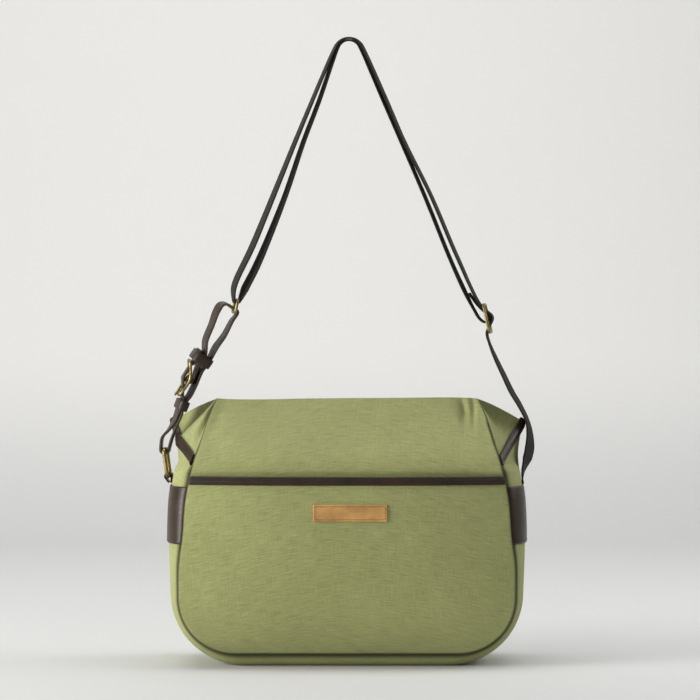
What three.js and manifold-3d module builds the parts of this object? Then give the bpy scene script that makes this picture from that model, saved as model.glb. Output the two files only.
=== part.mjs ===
// A canvas shoulder bag with a leather-bound front pocket, hung from its doubled webbing strap.
// Millimetres, +Z up, front towards -Y. The bag is laid out standing on z = 0, with its middle at x = 0, and
// the whole is then moved so that the underside of the strap's top, where it hangs, is the origin.
import * as THREE from "three";
import { mergeVertices } from "three/addons/utils/BufferGeometryUtils.js";
import Module from "manifold-3d";

// Walls and clearances
const canvas = 1.6;
const leather = 1.4;
const gap = 0.5;

// Bag body
const bagHeight = 262.5;
const bagWidth = 354;
const bagDepth = 124;
const ridgeLength = 260;
const mouthWidth = 18;
const seamFoot = 13;
const seamCorner = 56;
const gussetCorner = 72;
const bottomFlat = 0.6;
const sideFlat = 0.15;
const hipHeight = 202;
const ears = { left: { reach: 177, height: 239, fold: 1 }, right: { reach: 176, height: 238, fold: 4 } };
const earFlare = 1.7;
const earFoot = 190;
const panelCrown = 9;
const endFold = { at: 0.35, wide: 0.2, tilt: 53 };

// Front pocket and its trims
const pocketTop = 186;
const pocketStand = 8;
const trimHeight = 7;
const trimReach = 0.99;
const labelWidth = 72;
const labelHeight = 16.5;
const labelFoot = 144.5;
const labelShift = 3;
const patchFoot = 121;
const patchTop = 177;
const endTrimWidth = 10;

// Webbing strap and slider
const hangHeight = 620;
const hangShift = 2;
const hangRadius = 11.4;
const webbingWidth = 25;
const webbing = 1.8;
const plySpread = 15;
const strapKick = 19;
const sewnEnd = 14.5;
const sliderLength = 28;
const sliderWidth = 31;
const sliderWire = 3;
const sliderPlace = { x: 140.3, z: 342.7, lean: -12.9, turn: 7 };
const legAngle = 64;
const legTurn = 8;

// Leather belt and its rings, buckle and keepers
const beltWidth = 18;
const beltPly = 2.6;
const sideRing = { x: -180, z: 198.5, lean: -8, turn: -2, width: 26, length: 27, wire: 4, corner: 4.5 };
const strapRing = { x: -111.7, z: 354.8, lean: 12, turn: 8, width: 29.5, length: 12.6, wire: 3, corner: 3 };
const buckleWidth = 23.5;
const buckleLength = 36;
const buckleWire = 3;
const buckleCorner = 4;
const buckleBow = 5.5;
const prongWire = 2.2;
const prongSlot = 3.2;
const prongEnd = 1.6;
const prongHook = 240;
const keeperHeight = 10;
const keeperSlack = { upper: 8.6, lower: 1 };
const tabWidth = 15;
const tabPly = 1.6;

// The side outline by height: up is a share of the bag's height; spread goes from the ridge's end, 0, to the
// widest point, 1; band is a share of the half width; depth goes from the mouth, 0, to the deepest point, 1.
const OUTLINE = [
  { up: 0.05, spread: 0.739, band: 0.983, depth: 0.81, crown: 0 },
  { up: 0.15, spread: 0.745, band: 0.985, depth: 0.925, crown: 0.55 },
  { up: 0.264, spread: 0.745, band: 0.989, depth: 0.965, crown: 0.9 },
  { up: 0.383, spread: 0.735, band: 0.996, depth: 1, crown: 1 },
  { up: 0.487, spread: 0.66, band: 1, depth: 1, crown: 1 },
  { up: 0.613, spread: 0.609, band: 0.994, depth: 0.962, crown: 0.9 },
  { up: 0.686, spread: 0.539, band: 0.981, depth: 0.925, crown: 0.8 },
  { up: 0.774, spread: 0.424, band: 0.966, depth: 0.83, crown: 0.65 },
  { up: 0.835, spread: 0.315, band: 0.964, depth: 0.65, crown: 0.5 },
  { up: 0.895, spread: 0.222, band: 0.964, depth: 0.415, crown: 0.35 },
  { up: 0.95, spread: 0.115, band: 0.964, depth: 0.208, crown: 0.2 },
  { up: 1, spread: 0, band: 0.964, depth: 0, crown: 0 },
];

// The top of the left side from seam to seam: up is a share of the ear's rise, out of its reach. The belt
// holds the ear back from the middle.
const LEFT_EAR = [
  { t: -1, up: 0, out: 0 },
  { t: -0.6, up: 0.3, out: 0.44 },
  { t: -0.3, up: 0.5, out: 0.82 },
  { t: 0.3, up: 0.5, out: 0.84 },
  { t: 0.6, up: 1, out: 1 },
  { t: 1, up: 0, out: 0 },
];

// Dents of the front panel: across and up place the middle, wide and tall size it, as shares of the panel's
// half width and height, and deep is a share of the crown.
const DENTS = [
  { across: 0.86, up: 0.945, wide: 0.05, tall: 0.05, deep: 0.5 },
  { across: 0.97, up: 0.9, wide: 0.04, tall: 0.06, deep: 0.4 },
  { across: -0.95, up: 0.93, wide: 0.06, tall: 0.06, deep: 0.45 },
  { across: 0.35, up: 0.84, wide: 0.4, tall: 0.03, deep: 0.15 },
];

// Where things lie along the belt, as shares of the way from the side ring to the strap ring: out is to the
// outer side, lean is added to the belt's own lean, and turn is about the belt, both in degrees.
const UPPER_KEEPER = { along: 0.6387, out: 0.06, lean: 10.9, turn: 17 };
const LOWER_KEEPER = { along: 0.345, out: 0.0561, lean: -1.8, turn: 17 };
const BUCKLE = { along: 0.5006, out: 0.0768, lean: -6.6, turn: 8 };
const OUTER_PLY_TOP = [
  { along: 0.745, out: 0.0805, turn: 19 },
  { along: 0.8463, out: 0.0844, turn: 19 },
  { along: 0.9277, out: 0.0894, turn: 22 },
  { along: 0.9704, out: 0.0816, turn: 24 },
  { along: 0.9889, out: 0.0565, turn: 20 },
];
const INNER_PLY_TOP = [
  { along: 0.9173, out: -0.0154, turn: 12 },
  { along: 0.8184, out: -0.0075, turn: 16 },
  { along: 0.7346, out: 0.0101, turn: 19 },
];
const INNER_PLY_MIDDLE = [
  { along: 0.5765, out: 0.0348, turn: 18 },
  { along: 0.4736, out: 0.0349, turn: 18 },
  { along: 0.4117, out: 0.0391, turn: 18 },
];
const INNER_PLY_FOOT = [
  { along: 0.2826, out: 0.0401, turn: 13 },
  { along: 0.2122, out: 0.0366, turn: 6 },
  { along: 0.1492, out: 0.0304, turn: 0 },
];
const OUTER_PLY_FOOT = [
  { along: 0.1253, out: 0.083, turn: 0 },
  { along: 0.18, out: 0.068, turn: 6 },
  { along: 0.2407, out: 0.0595, turn: 13 },
  { along: 0.2971, out: 0.0625, turn: 17 },
];

// The strap's free stretches: down is a share of the way from the top to the ring or slider, out is a share
// of the spread between the plies, to the outer side, and turn is about the strap, in degrees.
const LEFT_INNER = [
  { down: 0.21, out: 0.48, turn: 10 },
  { down: 0.37, out: 0.3, turn: 11 },
  { down: 0.59, out: -0.09, turn: 13 },
  { down: 0.85, out: -0.27, turn: 18 },
  { down: 0.95, out: -0.19, turn: 19 },
];
const LEFT_OUTER = [
  { down: 0.96, out: 0.52, turn: 14 },
  { down: 0.785, out: 0.53, turn: 15 },
  { down: 0.3, out: 0.86, turn: 10 },
];
const RIGHT_OUTER = [
  { down: 0.208, out: 0.71, turn: 8 },
  { down: 0.36, out: 0.45, turn: 9 },
  { down: 0.576, out: 0.31, turn: 9 },
  { down: 0.817, out: -0.09, turn: 9 },
];
const RIGHT_INNER = [
  { down: 0.918, out: -0.71, turn: 10 },
  { down: 0.805, out: -0.56, turn: 9 },
  { down: 0.565, out: -0.07, turn: 9 },
  { down: 0.202, out: 0.5, turn: 8 },
];

// The single ply from the slider to the right patch: out is a share of the strap's kick over the ear.
const STRAP_FOOT = [
  { down: 0.068, out: -0.03, turn: 6 },
  { down: 0.178, out: 0.12, turn: 10 },
  { down: 0.289, out: 0.32, turn: 12 },
  { down: 0.4, out: 0.52, turn: 13 },
  { down: 0.5, out: 0.78, turn: 12 },
  { down: 0.61, out: 0.99, turn: 10 },
  { down: 0.7, out: 0.96, turn: 17 },
  { down: 0.79, out: 0.78, turn: 26 },
  { down: 0.85, out: 0.55, turn: 27 },
  { down: 0.926, out: 0.18, turn: 10 },
];

// Steps of the meshes
const flatSteps = 3;
const cornerSteps = 5;
const topSteps = 5;
const wireSides = 8;
const webbingStep = 14;
const beltStep = 7;
const arcStep = 24;

// Small helpers
const halfWidth = bagWidth / 2;
const halfDepth = bagDepth / 2;
const ridgeHalf = ridgeLength / 2;
const mouthHalf = mouthWidth / 2;
const point = (x, y, z) => new THREE.Vector3(x, y, z);
const mix = THREE.MathUtils.lerp;
const clamp = THREE.MathUtils.clamp;
const radians = THREE.MathUtils.degToRad;
const degrees = THREE.MathUtils.radToDeg;
const ease = (from, to, value) => THREE.MathUtils.smoothstep(value, from, to);
const steps = (count, from = 0, to = 1) =>
  Array.from({ length: count + 1 }, (_, i) => mix(from, to, i / count));

// A smooth function through one column of a table, by its first column.
function through(rows, key) {
  const last = rows.length - 1;
  const slope = (i) => {
    const before = rows[Math.max(i - 1, 0)];
    const after = rows[Math.min(i + 1, last)];
    return (after[key] - before[key]) / (after.up - before.up);
  };
  return (up) => {
    let i = 0;
    while (i < last - 1 && up > rows[i + 1].up) i++;
    const span = rows[i + 1].up - rows[i].up;
    const t = clamp((up - rows[i].up) / span, 0, 1);
    const rise = t * t * (3 - 2 * t);
    const leave = slope(i) * span * t * (1 - t) * (1 - t);
    const arrive = slope(i + 1) * span * t * t * (1 - t);
    return mix(rows[i][key], rows[i + 1][key], rise) + leave - arrive;
  };
}
const spreadAt = through(OUTLINE, "spread");
const bandAt = through(OUTLINE, "band");
const depthAt = through(OUTLINE, "depth");
const crownAt = through(OUTLINE, "crown");

// Sizes of the body at a height
const seamHalf = (z) => mix(ridgeHalf, halfWidth, spreadAt(z / bagHeight));
const seamDepth = (z) => mix(mouthHalf, halfDepth, depthAt(z / bagHeight));
const cornerTop = seamFoot + seamCorner;
const pocketLayer = canvas + gap;
const pocketInset = (z) => pocketLayer * (1 - ease(pocketTop, pocketTop + trimHeight, z));
const seamTilt = (z) => Math.hypot(1, seamDepth(z + 0.5) - seamDepth(z - 0.5));
const seamStack = (z, side) => canvas * seamTilt(z) + gap + (side < 0 ? pocketInset(z) : 0);
const earOf = (side) => (side < 0 ? ears.left : ears.right);
const gussetHalf = (z, side) => {
  const ear = earOf(side);
  const lean = clamp((z - hipHeight) / (ear.height - hipHeight), 0, 1);
  return mix(halfWidth * bandAt(z / bagHeight), ear.reach, lean ** earFlare);
};

// Half width of the front and back panels at a height, with their round lower corners.
function panelHalf(z) {
  if (z >= cornerTop) return seamHalf(z);
  const drop = cornerTop - z;
  const reach = Math.sqrt(Math.max(seamCorner ** 2 - drop ** 2, 0));
  return seamHalf(cornerTop) - seamCorner + reach;
}

function dentAt(across, z) {
  const push = (d) => {
    const a = (across - d.across) / d.wide;
    const b = (z / bagHeight - d.up) / d.tall;
    return d.deep * Math.exp(-a * a - b * b);
  };
  return panelCrown * DENTS.map(push).reduce((a, b) => a + b);
}

// A point of the front panel, side -1, or of the back panel, side 1.
function panelPoint(across, z, side) {
  const crown = panelCrown * crownAt(z / bagHeight) * (1 - Math.abs(across) ** 2.6);
  const hollow = side < 0 ? pocketInset(z) + dentAt(across, z) * (1 - across ** 8) : 0;
  return point(across * panelHalf(z), side * (seamDepth(z) + crown - hollow), z);
}

function pocketPoint(across, z) {
  const crown = panelCrown * crownAt(z / bagHeight) * (1 - Math.abs(across) ** 2.6);
  const stand = pocketStand * (1 - Math.abs(across) ** 3) * ease(seamFoot, pocketTop, z);
  return point(across * panelHalf(z), -(seamDepth(z) + crown + stand), z);
}

// How far the gusset has come out from the seam, 0, to its flat middle, 1; t runs from seam to seam.
function bulge(t, flat) {
  const turn = clamp((Math.abs(t) - flat) / (1 - flat), 0, 1);
  return 1 - turn * turn;
}
function earAt(t, side) {
  if (side > 0) return { up: 1 - Math.abs(t) ** 0.8, out: 1 - Math.abs(t) };
  const next = Math.max(LEFT_EAR.findIndex((row) => row.t >= t), 1);
  const [a, b] = [LEFT_EAR[next - 1], LEFT_EAR[next]];
  const share = (t - a.t) / (b.t - a.t);
  return { up: mix(a.up, b.up, share), out: mix(a.out, b.out, share) };
}
const gussetTop = (t, side) => mix(hipHeight, earOf(side).height, earAt(t, side).up);
const gussetY = (t, z) => t * (seamDepth(Math.min(z, hipHeight)) - seamStack(z, t));

// A point of the gusset's side wall.
function sideWall(z, t, side) {
  const out = mix(bulge(t, sideFlat), earAt(t, side).out, ease(earFoot, hipHeight, z));
  const reach = mix(seamHalf(Math.min(z, hipHeight)), gussetHalf(z, side), out);
  return point(side * reach, gussetY(t, z), z);
}

// Places along the gusset, from 0 at the bottom's middle to 3 at the top of a side. The corner starts at 1
// and ends at 2; the patch and the end trim have fixed places, so that their faces match the gusset's.
const patchFootWay = 2.3;
const patchTopWay = 2.6;
const trimFootWay = 2.9;
const gussetEndWay = 2.95;

// A point of the gusset; along is negative on the left.
function gussetPoint(along, t) {
  const side = along < 0 ? -1 : 1;
  const way = Math.abs(along);
  const out = bulge(t, mix(bottomFlat, sideFlat, clamp(way - 1, 0, 1)));
  const seamFlat = seamHalf(cornerTop) - seamCorner;
  const bandFlat = gussetHalf(gussetCorner, side) - gussetCorner;
  if (way <= 1) {
    const z = mix(seamFoot, 0, out);
    return point(side * way * mix(seamFlat, bandFlat, out), gussetY(t, seamFoot), z);
  }
  if (way <= 2) {
    const angle = ((way - 1) * Math.PI) / 2;
    const seamX = seamFlat + seamCorner * Math.sin(angle);
    const seamZ = cornerTop - seamCorner * Math.cos(angle);
    const bandX = bandFlat + gussetCorner * Math.sin(angle);
    const bandZ = gussetCorner - gussetCorner * Math.cos(angle);
    return point(side * mix(seamX, bandX, out), gussetY(t, seamZ), mix(seamZ, bandZ, out));
  }
  const levels = [
    { way: 2, z: mix(cornerTop, gussetCorner, out) },
    { way: patchFootWay, z: patchFoot },
    { way: patchTopWay, z: patchTop },
    { way: trimFootWay, z: gussetTop(t, side) - endTrimWidth / 2 },
    { way: 3, z: gussetTop(t, side) },
  ];
  const above = Math.max(levels.findIndex((level) => level.way >= way), 1);
  const [from, to] = [levels[above - 1], levels[above]];
  return sideWall(mix(from.z, to.z, (way - from.way) / (to.way - from.way)), t, side);
}

// A point of a top end panel: up runs from the upturned V, 0, to the ridge's end, 1. It is blended between
// its four edges: the V, the ridge's end, the two seams and the line of the hip.
function topEndPoint(up, t, side) {
  const edge = Math.abs(t);
  const foot = (a) => sideWall(gussetTop(a, side) + canvas + gap, a, side);
  const head = (a) => point(side * ridgeHalf, a * (mouthHalf - seamStack(bagHeight, a)), bagHeight);
  const seamZ = mix(hipHeight + gap, bagHeight, up);
  const seamY = Math.sign(t) * (seamDepth(seamZ) - seamStack(seamZ, t));
  const seam = point(side * seamHalf(seamZ), seamY, seamZ);
  const straightSeam = foot(Math.sign(t)).lerp(head(Math.sign(t)), up);
  const blended = foot(t).lerp(head(t), up);
  blended.addScaledVector(seam.sub(straightSeam), edge);
  const offFold = (edge - endFold.at) / endFold.wide;
  const fold = earOf(side).fold * Math.sin(Math.PI * up) * Math.exp(-(offFold ** 2));
  const tilt = radians(endFold.tilt);
  return blended.sub(point(side * fold * Math.cos(tilt), 0, fold * Math.sin(tilt)));
}

// Geometry from a list of vertices and triangles, turned to face out.
function solid(vertices, triangles) {
  const [a, b, c] = [point(), point(), point()];
  let volume = 0;
  for (const [i, j, k] of triangles) {
    volume += a.copy(vertices[i]).dot(b.copy(vertices[j]).cross(c.copy(vertices[k])));
  }
  const faces = volume < 0 ? triangles.map(([i, j, k]) => [i, k, j]) : triangles;
  const geometry = new THREE.BufferGeometry();
  const flat = vertices.flatMap((v) => [v.x, v.y, v.z]);
  geometry.setAttribute("position", new THREE.Float32BufferAttribute(flat, 3));
  geometry.setIndex(faces.flat());
  geometry.computeVertexNormals();
  return geometry;
}

// Joins a list of rings, each of as many points, into one skin; ends are capped unless the list closes.
function loft(rings, section, closed) {
  const count = rings[0].length;
  const triangles = [];
  rings.forEach((ring, i) => {
    if (!closed && i === rings.length - 1) return;
    const here = i * count;
    const next = ((i + 1) % rings.length) * count;
    for (let j = 0; j < count; j++) {
      const k = (j + 1) % count;
      triangles.push([here + j, here + k, next + k], [here + j, next + k, next + j]);
    }
  });
  if (!closed) {
    const end = (rings.length - 1) * count;
    for (const [i, j, k] of THREE.ShapeUtils.triangulateShape(section, [])) {
      triangles.push([i, k, j], [end + i, end + j, end + k]);
    }
  }
  return solid(rings.flat(), triangles);
}

// A closed sheet over the surface at(u, v), between two heights above it. Outwards is away from the middle.
const bagMiddle = point(0, 0, bagHeight / 2);
function sheet(at, us, vs, low, high) {
  const small = 1e-3;
  const [uMin, uMax] = [Math.min(...us), Math.max(...us)];
  const [vMin, vMax] = [Math.min(...vs), Math.max(...vs)];
  const normal = (u, v) => {
    const du = at(Math.min(u + small, uMax), v).sub(at(Math.max(u - small, uMin), v));
    const dv = at(u, Math.min(v + small, vMax)).sub(at(u, Math.max(v - small, vMin)));
    const n = du.cross(dv).normalize();
    return n.dot(at(u, v).sub(bagMiddle)) < 0 ? n.negate() : n;
  };
  const face = (lift) => vs.map((v) => us.map((u) => at(u, v).addScaledVector(normal(u, v), lift)));
  const vertices = [...face(high), ...face(low)].flat();
  const wide = us.length;
  const tall = vs.length;
  const id = (layer, row, column) => layer * wide * tall + row * wide + column;
  const triangles = [];
  const quad = (a, b, c, d) => triangles.push([a, b, c], [a, c, d]);
  for (let r = 0; r < tall - 1; r++) {
    for (let c = 0; c < wide - 1; c++) {
      quad(id(0, r, c), id(0, r, c + 1), id(0, r + 1, c + 1), id(0, r + 1, c));
      quad(id(1, r, c), id(1, r + 1, c), id(1, r + 1, c + 1), id(1, r, c + 1));
    }
    quad(id(0, r, 0), id(0, r + 1, 0), id(1, r + 1, 0), id(1, r, 0));
    quad(id(0, r, wide - 1), id(1, r, wide - 1), id(1, r + 1, wide - 1), id(0, r + 1, wide - 1));
  }
  for (let c = 0; c < wide - 1; c++) {
    quad(id(0, 0, c), id(1, 0, c), id(1, 0, c + 1), id(0, 0, c + 1));
    quad(id(0, tall - 1, c), id(0, tall - 1, c + 1), id(1, tall - 1, c + 1), id(1, tall - 1, c));
  }
  return solid(vertices, triangles);
}

// Sections, as flat outlines
const circle = (radius, sides = wireSides) =>
  steps(sides).slice(1).map((share) => {
    const angle = share * 2 * Math.PI;
    return new THREE.Vector2(radius * Math.cos(angle), radius * Math.sin(angle));
  });
const oblong = (width, height) => [
  new THREE.Vector2(-width / 2, -height / 2),
  new THREE.Vector2(width / 2, -height / 2),
  new THREE.Vector2(width / 2, height / 2),
  new THREE.Vector2(-width / 2, height / 2),
];

// Sweeps a section along stations, each a point p and the direction w of the section's width. The stretch
// between two stations is a smooth curve, cut into pieces no longer than step.
function sweep(stations, section, step) {
  const curve = new THREE.CatmullRomCurve3(stations.map((s) => s.p));
  const last = stations.length - 1;
  const path = [];
  for (let i = 0; i < last; i++) {
    const pieces = Math.ceil(stations[i].p.distanceTo(stations[i + 1].p) / step);
    for (let k = 0; k < pieces; k++) path.push(i + k / pieces);
  }
  path.push(last);
  const points = path.map((at) => curve.getPoint(at / last));
  const rings = path.map((at, i) => {
    const before = points[Math.max(i - 1, 0)];
    const after = points[Math.min(i + 1, points.length - 1)];
    const tangent = after.clone().sub(before).normalize();
    const from = stations[Math.floor(at)].w;
    const to = stations[Math.min(Math.floor(at) + 1, last)].w;
    const width = from.clone().lerp(to, at % 1);
    width.addScaledVector(tangent, -width.dot(tangent)).normalize();
    const height = tangent.clone().cross(width);
    const place = (q) => points[i].clone().addScaledVector(width, q.x).addScaledVector(height, q.y);
    return section.map(place);
  });
  return loft(rings, section, false);
}

// A round-cornered loop in a plane, as points with their outward directions.
function roundLoop(width, height, corner, stepsPerCorner) {
  const loop = [];
  for (let quarter = 0; quarter < 4; quarter++) {
    for (const turn of steps(stepsPerCorner)) {
      const angle = ((quarter + turn) * Math.PI) / 2;
      const [c, s] = [Math.cos(angle), Math.sin(angle)];
      const signX = quarter === 0 || quarter === 3 ? 1 : -1;
      const signY = quarter < 2 ? 1 : -1;
      const x = signX * (width / 2 - corner) + corner * c;
      const y = signY * (height / 2 - corner) + corner * s;
      loop.push({ x, y, out: new THREE.Vector2(c, s) });
    }
  }
  return loop;
}

// Carries a section round a loop that lies in the plane of two axes; the section's x points out of the loop,
// and lift moves it off the plane, by its place on the second axis.
function hoop(centre, axes, loop, section, lift = () => 0) {
  const rings = loop.map(({ x, y, out }) =>
    section.map((q) =>
      centre
        .clone()
        .addScaledVector(axes[0], x + out.x * q.x)
        .addScaledVector(axes[1], y + out.y * q.x)
        .addScaledVector(axes[2], q.y + lift(y)),
    ),
  );
  return loft(rings, section, true);
}

// A local frame on a strap: along runs up the strap, out to its outer face and across over its width.
function frameAt(x, z, lean, turn, side) {
  const [s, c] = [Math.sin(radians(lean)), Math.cos(radians(lean))];
  const along = point(s, 0, c);
  const outer = point(side * c, 0, -side * s);
  const across = point(0, Math.cos(radians(turn)), 0).addScaledVector(outer, Math.sin(radians(turn)));
  const out = outer.clone().multiplyScalar(Math.cos(radians(turn)));
  out.y -= Math.sin(radians(turn));
  const centre = point(x, 0, z);
  const at = (a, o) => centre.clone().addScaledVector(along, a).addScaledVector(out, o);
  const station = (a, o) => ({ p: at(a, o), w: across });
  return { centre, along, out, across, lean, at, station };
}

// Stations round a bar that runs across a frame at (a, o). Angle 0 is outwards, and 90 up the strap.
function round(frame, a, o, radius, from, to) {
  const count = Math.ceil(Math.abs(to - from) / arcStep);
  const reach = radius / Math.cos(radians((to - from) / count) / 2);
  return steps(count, radians(from), radians(to)).map((angle) =>
    frame.station(a + reach * Math.sin(angle), o + reach * Math.cos(angle)),
  );
}

// Where a strap runs from one place to another: rows give the way down, the offset and the turn.
function stretch(from, to, side, rows, spread) {
  const span = to.clone().sub(from);
  const lean = degrees(Math.atan2(-span.x, -span.z));
  return rows.map(({ down, out, turn }) => {
    const middle = from.clone().addScaledVector(span, down);
    const p = frameAt(middle.x, middle.z, lean, 0, side).at(0, out * spread);
    return { p, w: frameAt(p.x, p.z, lean, turn, side).across };
  });
}

// Joining and cutting of closed solids
const wasm = await Module();
wasm.setup();
function toManifold(geometry) {
  const bare = geometry.clone();
  bare.deleteAttribute("normal");
  const merged = mergeVertices(bare, 1e-4);
  const vertProperties = merged.attributes.position.array;
  const triVerts = new Uint32Array(merged.index.array);
  return new wasm.Manifold(new wasm.Mesh({ numProp: 3, vertProperties, triVerts }));
}
function toGeometry(manifold) {
  const { vertProperties, triVerts } = manifold.simplify(0.01).getMesh();
  const vertices = [];
  for (let i = 0; i < vertProperties.length; i += 3) vertices.push(point().fromArray(vertProperties, i));
  const triangles = [];
  for (let i = 0; i < triVerts.length; i += 3) triangles.push(Array.from(triVerts.slice(i, i + 3)));
  return solid(vertices, triangles);
}

// Materials
const FINISHES = {
  canvas: { color: "#9a9e69", roughness: 0.92, metalness: 0 },
  trim: { color: "#4a3b33", roughness: 0.45, metalness: 0 },
  tan: { color: "#b98d4d", roughness: 0.6, metalness: 0 },
  brass: { color: "#a88b46", roughness: 0.35, metalness: 1 },
  webbing: { color: "#3a3632", roughness: 0.85, metalness: 0 },
};
const bag = new THREE.Group();
const everything = new THREE.Group();
everything.add(bag);
function add(name, finish, geometry) {
  const mesh = new THREE.Mesh(geometry, new THREE.MeshStandardMaterial(FINISHES[finish]));
  mesh.name = name;
  bag.add(mesh);
}

// Heights and columns that neighbouring sheets share
const cornerRows = steps(cornerSteps).map((s) => cornerTop - seamCorner * Math.cos((s * Math.PI) / 2));
const patchWays = [patchFootWay, (patchFootWay + patchTopWay) / 2, patchTopWay];
const upperWays = [(patchTopWay + trimFootWay) / 2, trimFootWay, gussetEndWay];
const sideWays = [(2 + patchFootWay) / 2, ...patchWays, ...upperWays];
const sideRows = sideWays.map((way) => gussetPoint(way, 1).z);
const topRows = steps(topSteps, hipHeight, bagHeight).slice(1);
const panelRows = [...cornerRows, ...sideRows, ...topRows];
const panelColumns = steps(14, -1, 1).map((u) => Math.sin((u * Math.PI) / 2) * 0.35 + u * 0.65);
const turnShares = [0.35, 0.7, 1].map((s) => mix(bottomFlat, 1, s));
const edgeColumns = [bottomFlat / 2, bottomFlat, ...turnShares];
const gussetColumns = [...edgeColumns.map((t) => -t).reverse(), 0, ...edgeColumns];
const trimColumns = gussetColumns.map((t) => clamp(t, -0.98, 0.98));
const halfWay = [...steps(flatSteps), ...steps(cornerSteps, 1, 2).slice(1), ...sideWays];
const gussetRows = [...halfWay.slice(1).map((v) => -v).reverse(), ...halfWay];

function addBody() {
  add("front_panel", "canvas", sheet((u, z) => panelPoint(u, z, -1), panelColumns, panelRows, -canvas, 0));
  add("back_panel", "canvas", sheet((u, z) => panelPoint(u, z, 1), panelColumns, panelRows, -canvas, 0));
  add("gusset", "canvas", sheet((t, v) => gussetPoint(v, t), gussetColumns, gussetRows, -canvas, 0));
  for (const [name, side] of [["left", -1], ["right", 1]]) {
    const end = (t, up) => topEndPoint(up, t, side);
    add("top_end_" + name, "canvas", sheet(end, gussetColumns, steps(topSteps), -canvas, 0));
  }
}

function addPocket() {
  const lowRows = [...cornerRows, ...sideRows].filter((z) => z < pocketTop - 2 * trimHeight);
  const rows = [...lowRows, pocketTop - trimHeight, pocketTop];
  add("front_pocket", "canvas", sheet(pocketPoint, panelColumns, rows, -canvas, 0));

  // The trim's section: a leather face in front of the pocket and a lip over its top edge.
  const face = gap + leather;
  const round = leather * 0.6;
  const section = [
    new THREE.Vector2(gap, -trimHeight),
    new THREE.Vector2(face, -trimHeight),
    new THREE.Vector2(face, gap + leather - round),
    new THREE.Vector2(face - round, gap + leather),
    new THREE.Vector2(-canvas, gap + leather),
    new THREE.Vector2(-canvas, gap),
    new THREE.Vector2(gap, gap),
  ];
  const rings = panelColumns.map((column) => {
    const u = column * trimReach;
    const [low, high] = [pocketPoint(u, pocketTop - trimHeight), pocketPoint(u, pocketTop)];
    const rise = high.clone().sub(low).normalize();
    const run = pocketPoint(u + 1e-3, pocketTop).sub(pocketPoint(u - 1e-3, pocketTop)).normalize();
    const out = run.clone().cross(rise).normalize();
    return section.map((q) => high.clone().addScaledVector(out, q.x).addScaledVector(rise, q.y));
  });
  add("pocket_trim", "trim", loft(rings, section, false));

  const [left, right] = [labelShift - labelWidth / 2, labelShift + labelWidth / 2];
  const onPocket = (x, z) => pocketPoint(x / panelHalf(z), z);
  const labelRows = steps(1, labelFoot, labelFoot + labelHeight);
  add("label", "tan", sheet(onPocket, steps(6, left, right), labelRows, gap, gap + leather));
}

function addTrims() {
  for (const [name, side] of [["left", -1], ["right", 1]]) {
    const wall = (t, way) => gussetPoint(side * way, t);
    add("side_patch_" + name, "trim", sheet(wall, gussetColumns, patchWays, gap, gap + leather));
    const share = endTrimWidth / 2 / (bagHeight - hipHeight);
    const strip = (t, way) => {
      if (way <= 3) return gussetPoint(side * way, t);
      if (way > 4) return topEndPoint((way - 4) * share, t, side);
      return gussetPoint(side * 3, t).lerp(topEndPoint(0, t, side), way - 3);
    };
    const ways = [trimFootWay, 3, 4, 5];
    add("end_trim_" + name, "trim", sheet(strip, trimColumns, ways, 2.5 * gap, 2.5 * gap + leather));
  }
}

// Frames of the hardware on the left
const low = frameAt(sideRing.x, sideRing.z, sideRing.lean, sideRing.turn, -1);
const high = frameAt(strapRing.x, strapRing.z, strapRing.lean, strapRing.turn, -1);
const beltSpan = high.centre.clone().sub(low.centre);
const beltLength = beltSpan.length();
const beltLean = degrees(Math.atan2(beltSpan.x, beltSpan.z));
function onBelt({ along, out, lean = 0, turn }) {
  const chord = frameAt(low.centre.x, low.centre.z, beltLean, 0, -1);
  const place = chord.at(along * beltLength, out * beltLength);
  return frameAt(place.x, place.z, beltLean + lean, turn, -1);
}
const upperKeeper = onBelt(UPPER_KEEPER);
const lowerKeeper = onBelt(LOWER_KEEPER);
const buckle = onBelt(BUCKLE);
const freePly = (rows) => rows.map((row) => onBelt(row).station(0, 0));
const nextPly = beltPly + gap;

// An oval or square-cornered ring of round wire in a frame; bow is how far its two ends stand out.
function ringOf(frame, { width, length, wire, corner, bow = 0 }) {
  const axes = [frame.across, frame.along, frame.out];
  const loop = roundLoop(width, length, corner, 4).flatMap((here, i, all) => {
    const next = all[(i + 1) % all.length];
    const pieces = bow ? Math.ceil(Math.abs(next.y - here.y) / beltStep) || 1 : 1;
    return steps(pieces).slice(0, -1).map((t) => ({
      x: mix(here.x, next.x, t),
      y: mix(here.y, next.y, t),
      out: here.out.clone().lerp(next.out, t),
    }));
  });
  const lift = (y) => bow * Math.abs((2 * y) / length) ** 1.5;
  return hoop(frame.centre, axes, loop, circle(wire / 2), lift);
}

// A ring with a bar across its middle.
function barredRing(frame, size) {
  const end = (share) => frame.centre.clone().addScaledVector(frame.across, share * size.width);
  const path = [-0.5, 0.5].map((share) => ({ p: end(share), w: frame.along }));
  const bar = sweep(path, circle(size.wire / 2), size.width);
  return toGeometry(toManifold(ringOf(frame, size)).add(toManifold(bar)));
}

// A leather keeper round the plies, which are as thick as stack.
function keeperOf(frame, stack) {
  const axes = [frame.across, frame.out, frame.along];
  const loop = roundLoop(beltWidth + 10 * gap + leather, stack + leather, 1.6, 3);
  return hoop(frame.centre, axes, loop, oblong(leather, keeperHeight));
}

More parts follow.
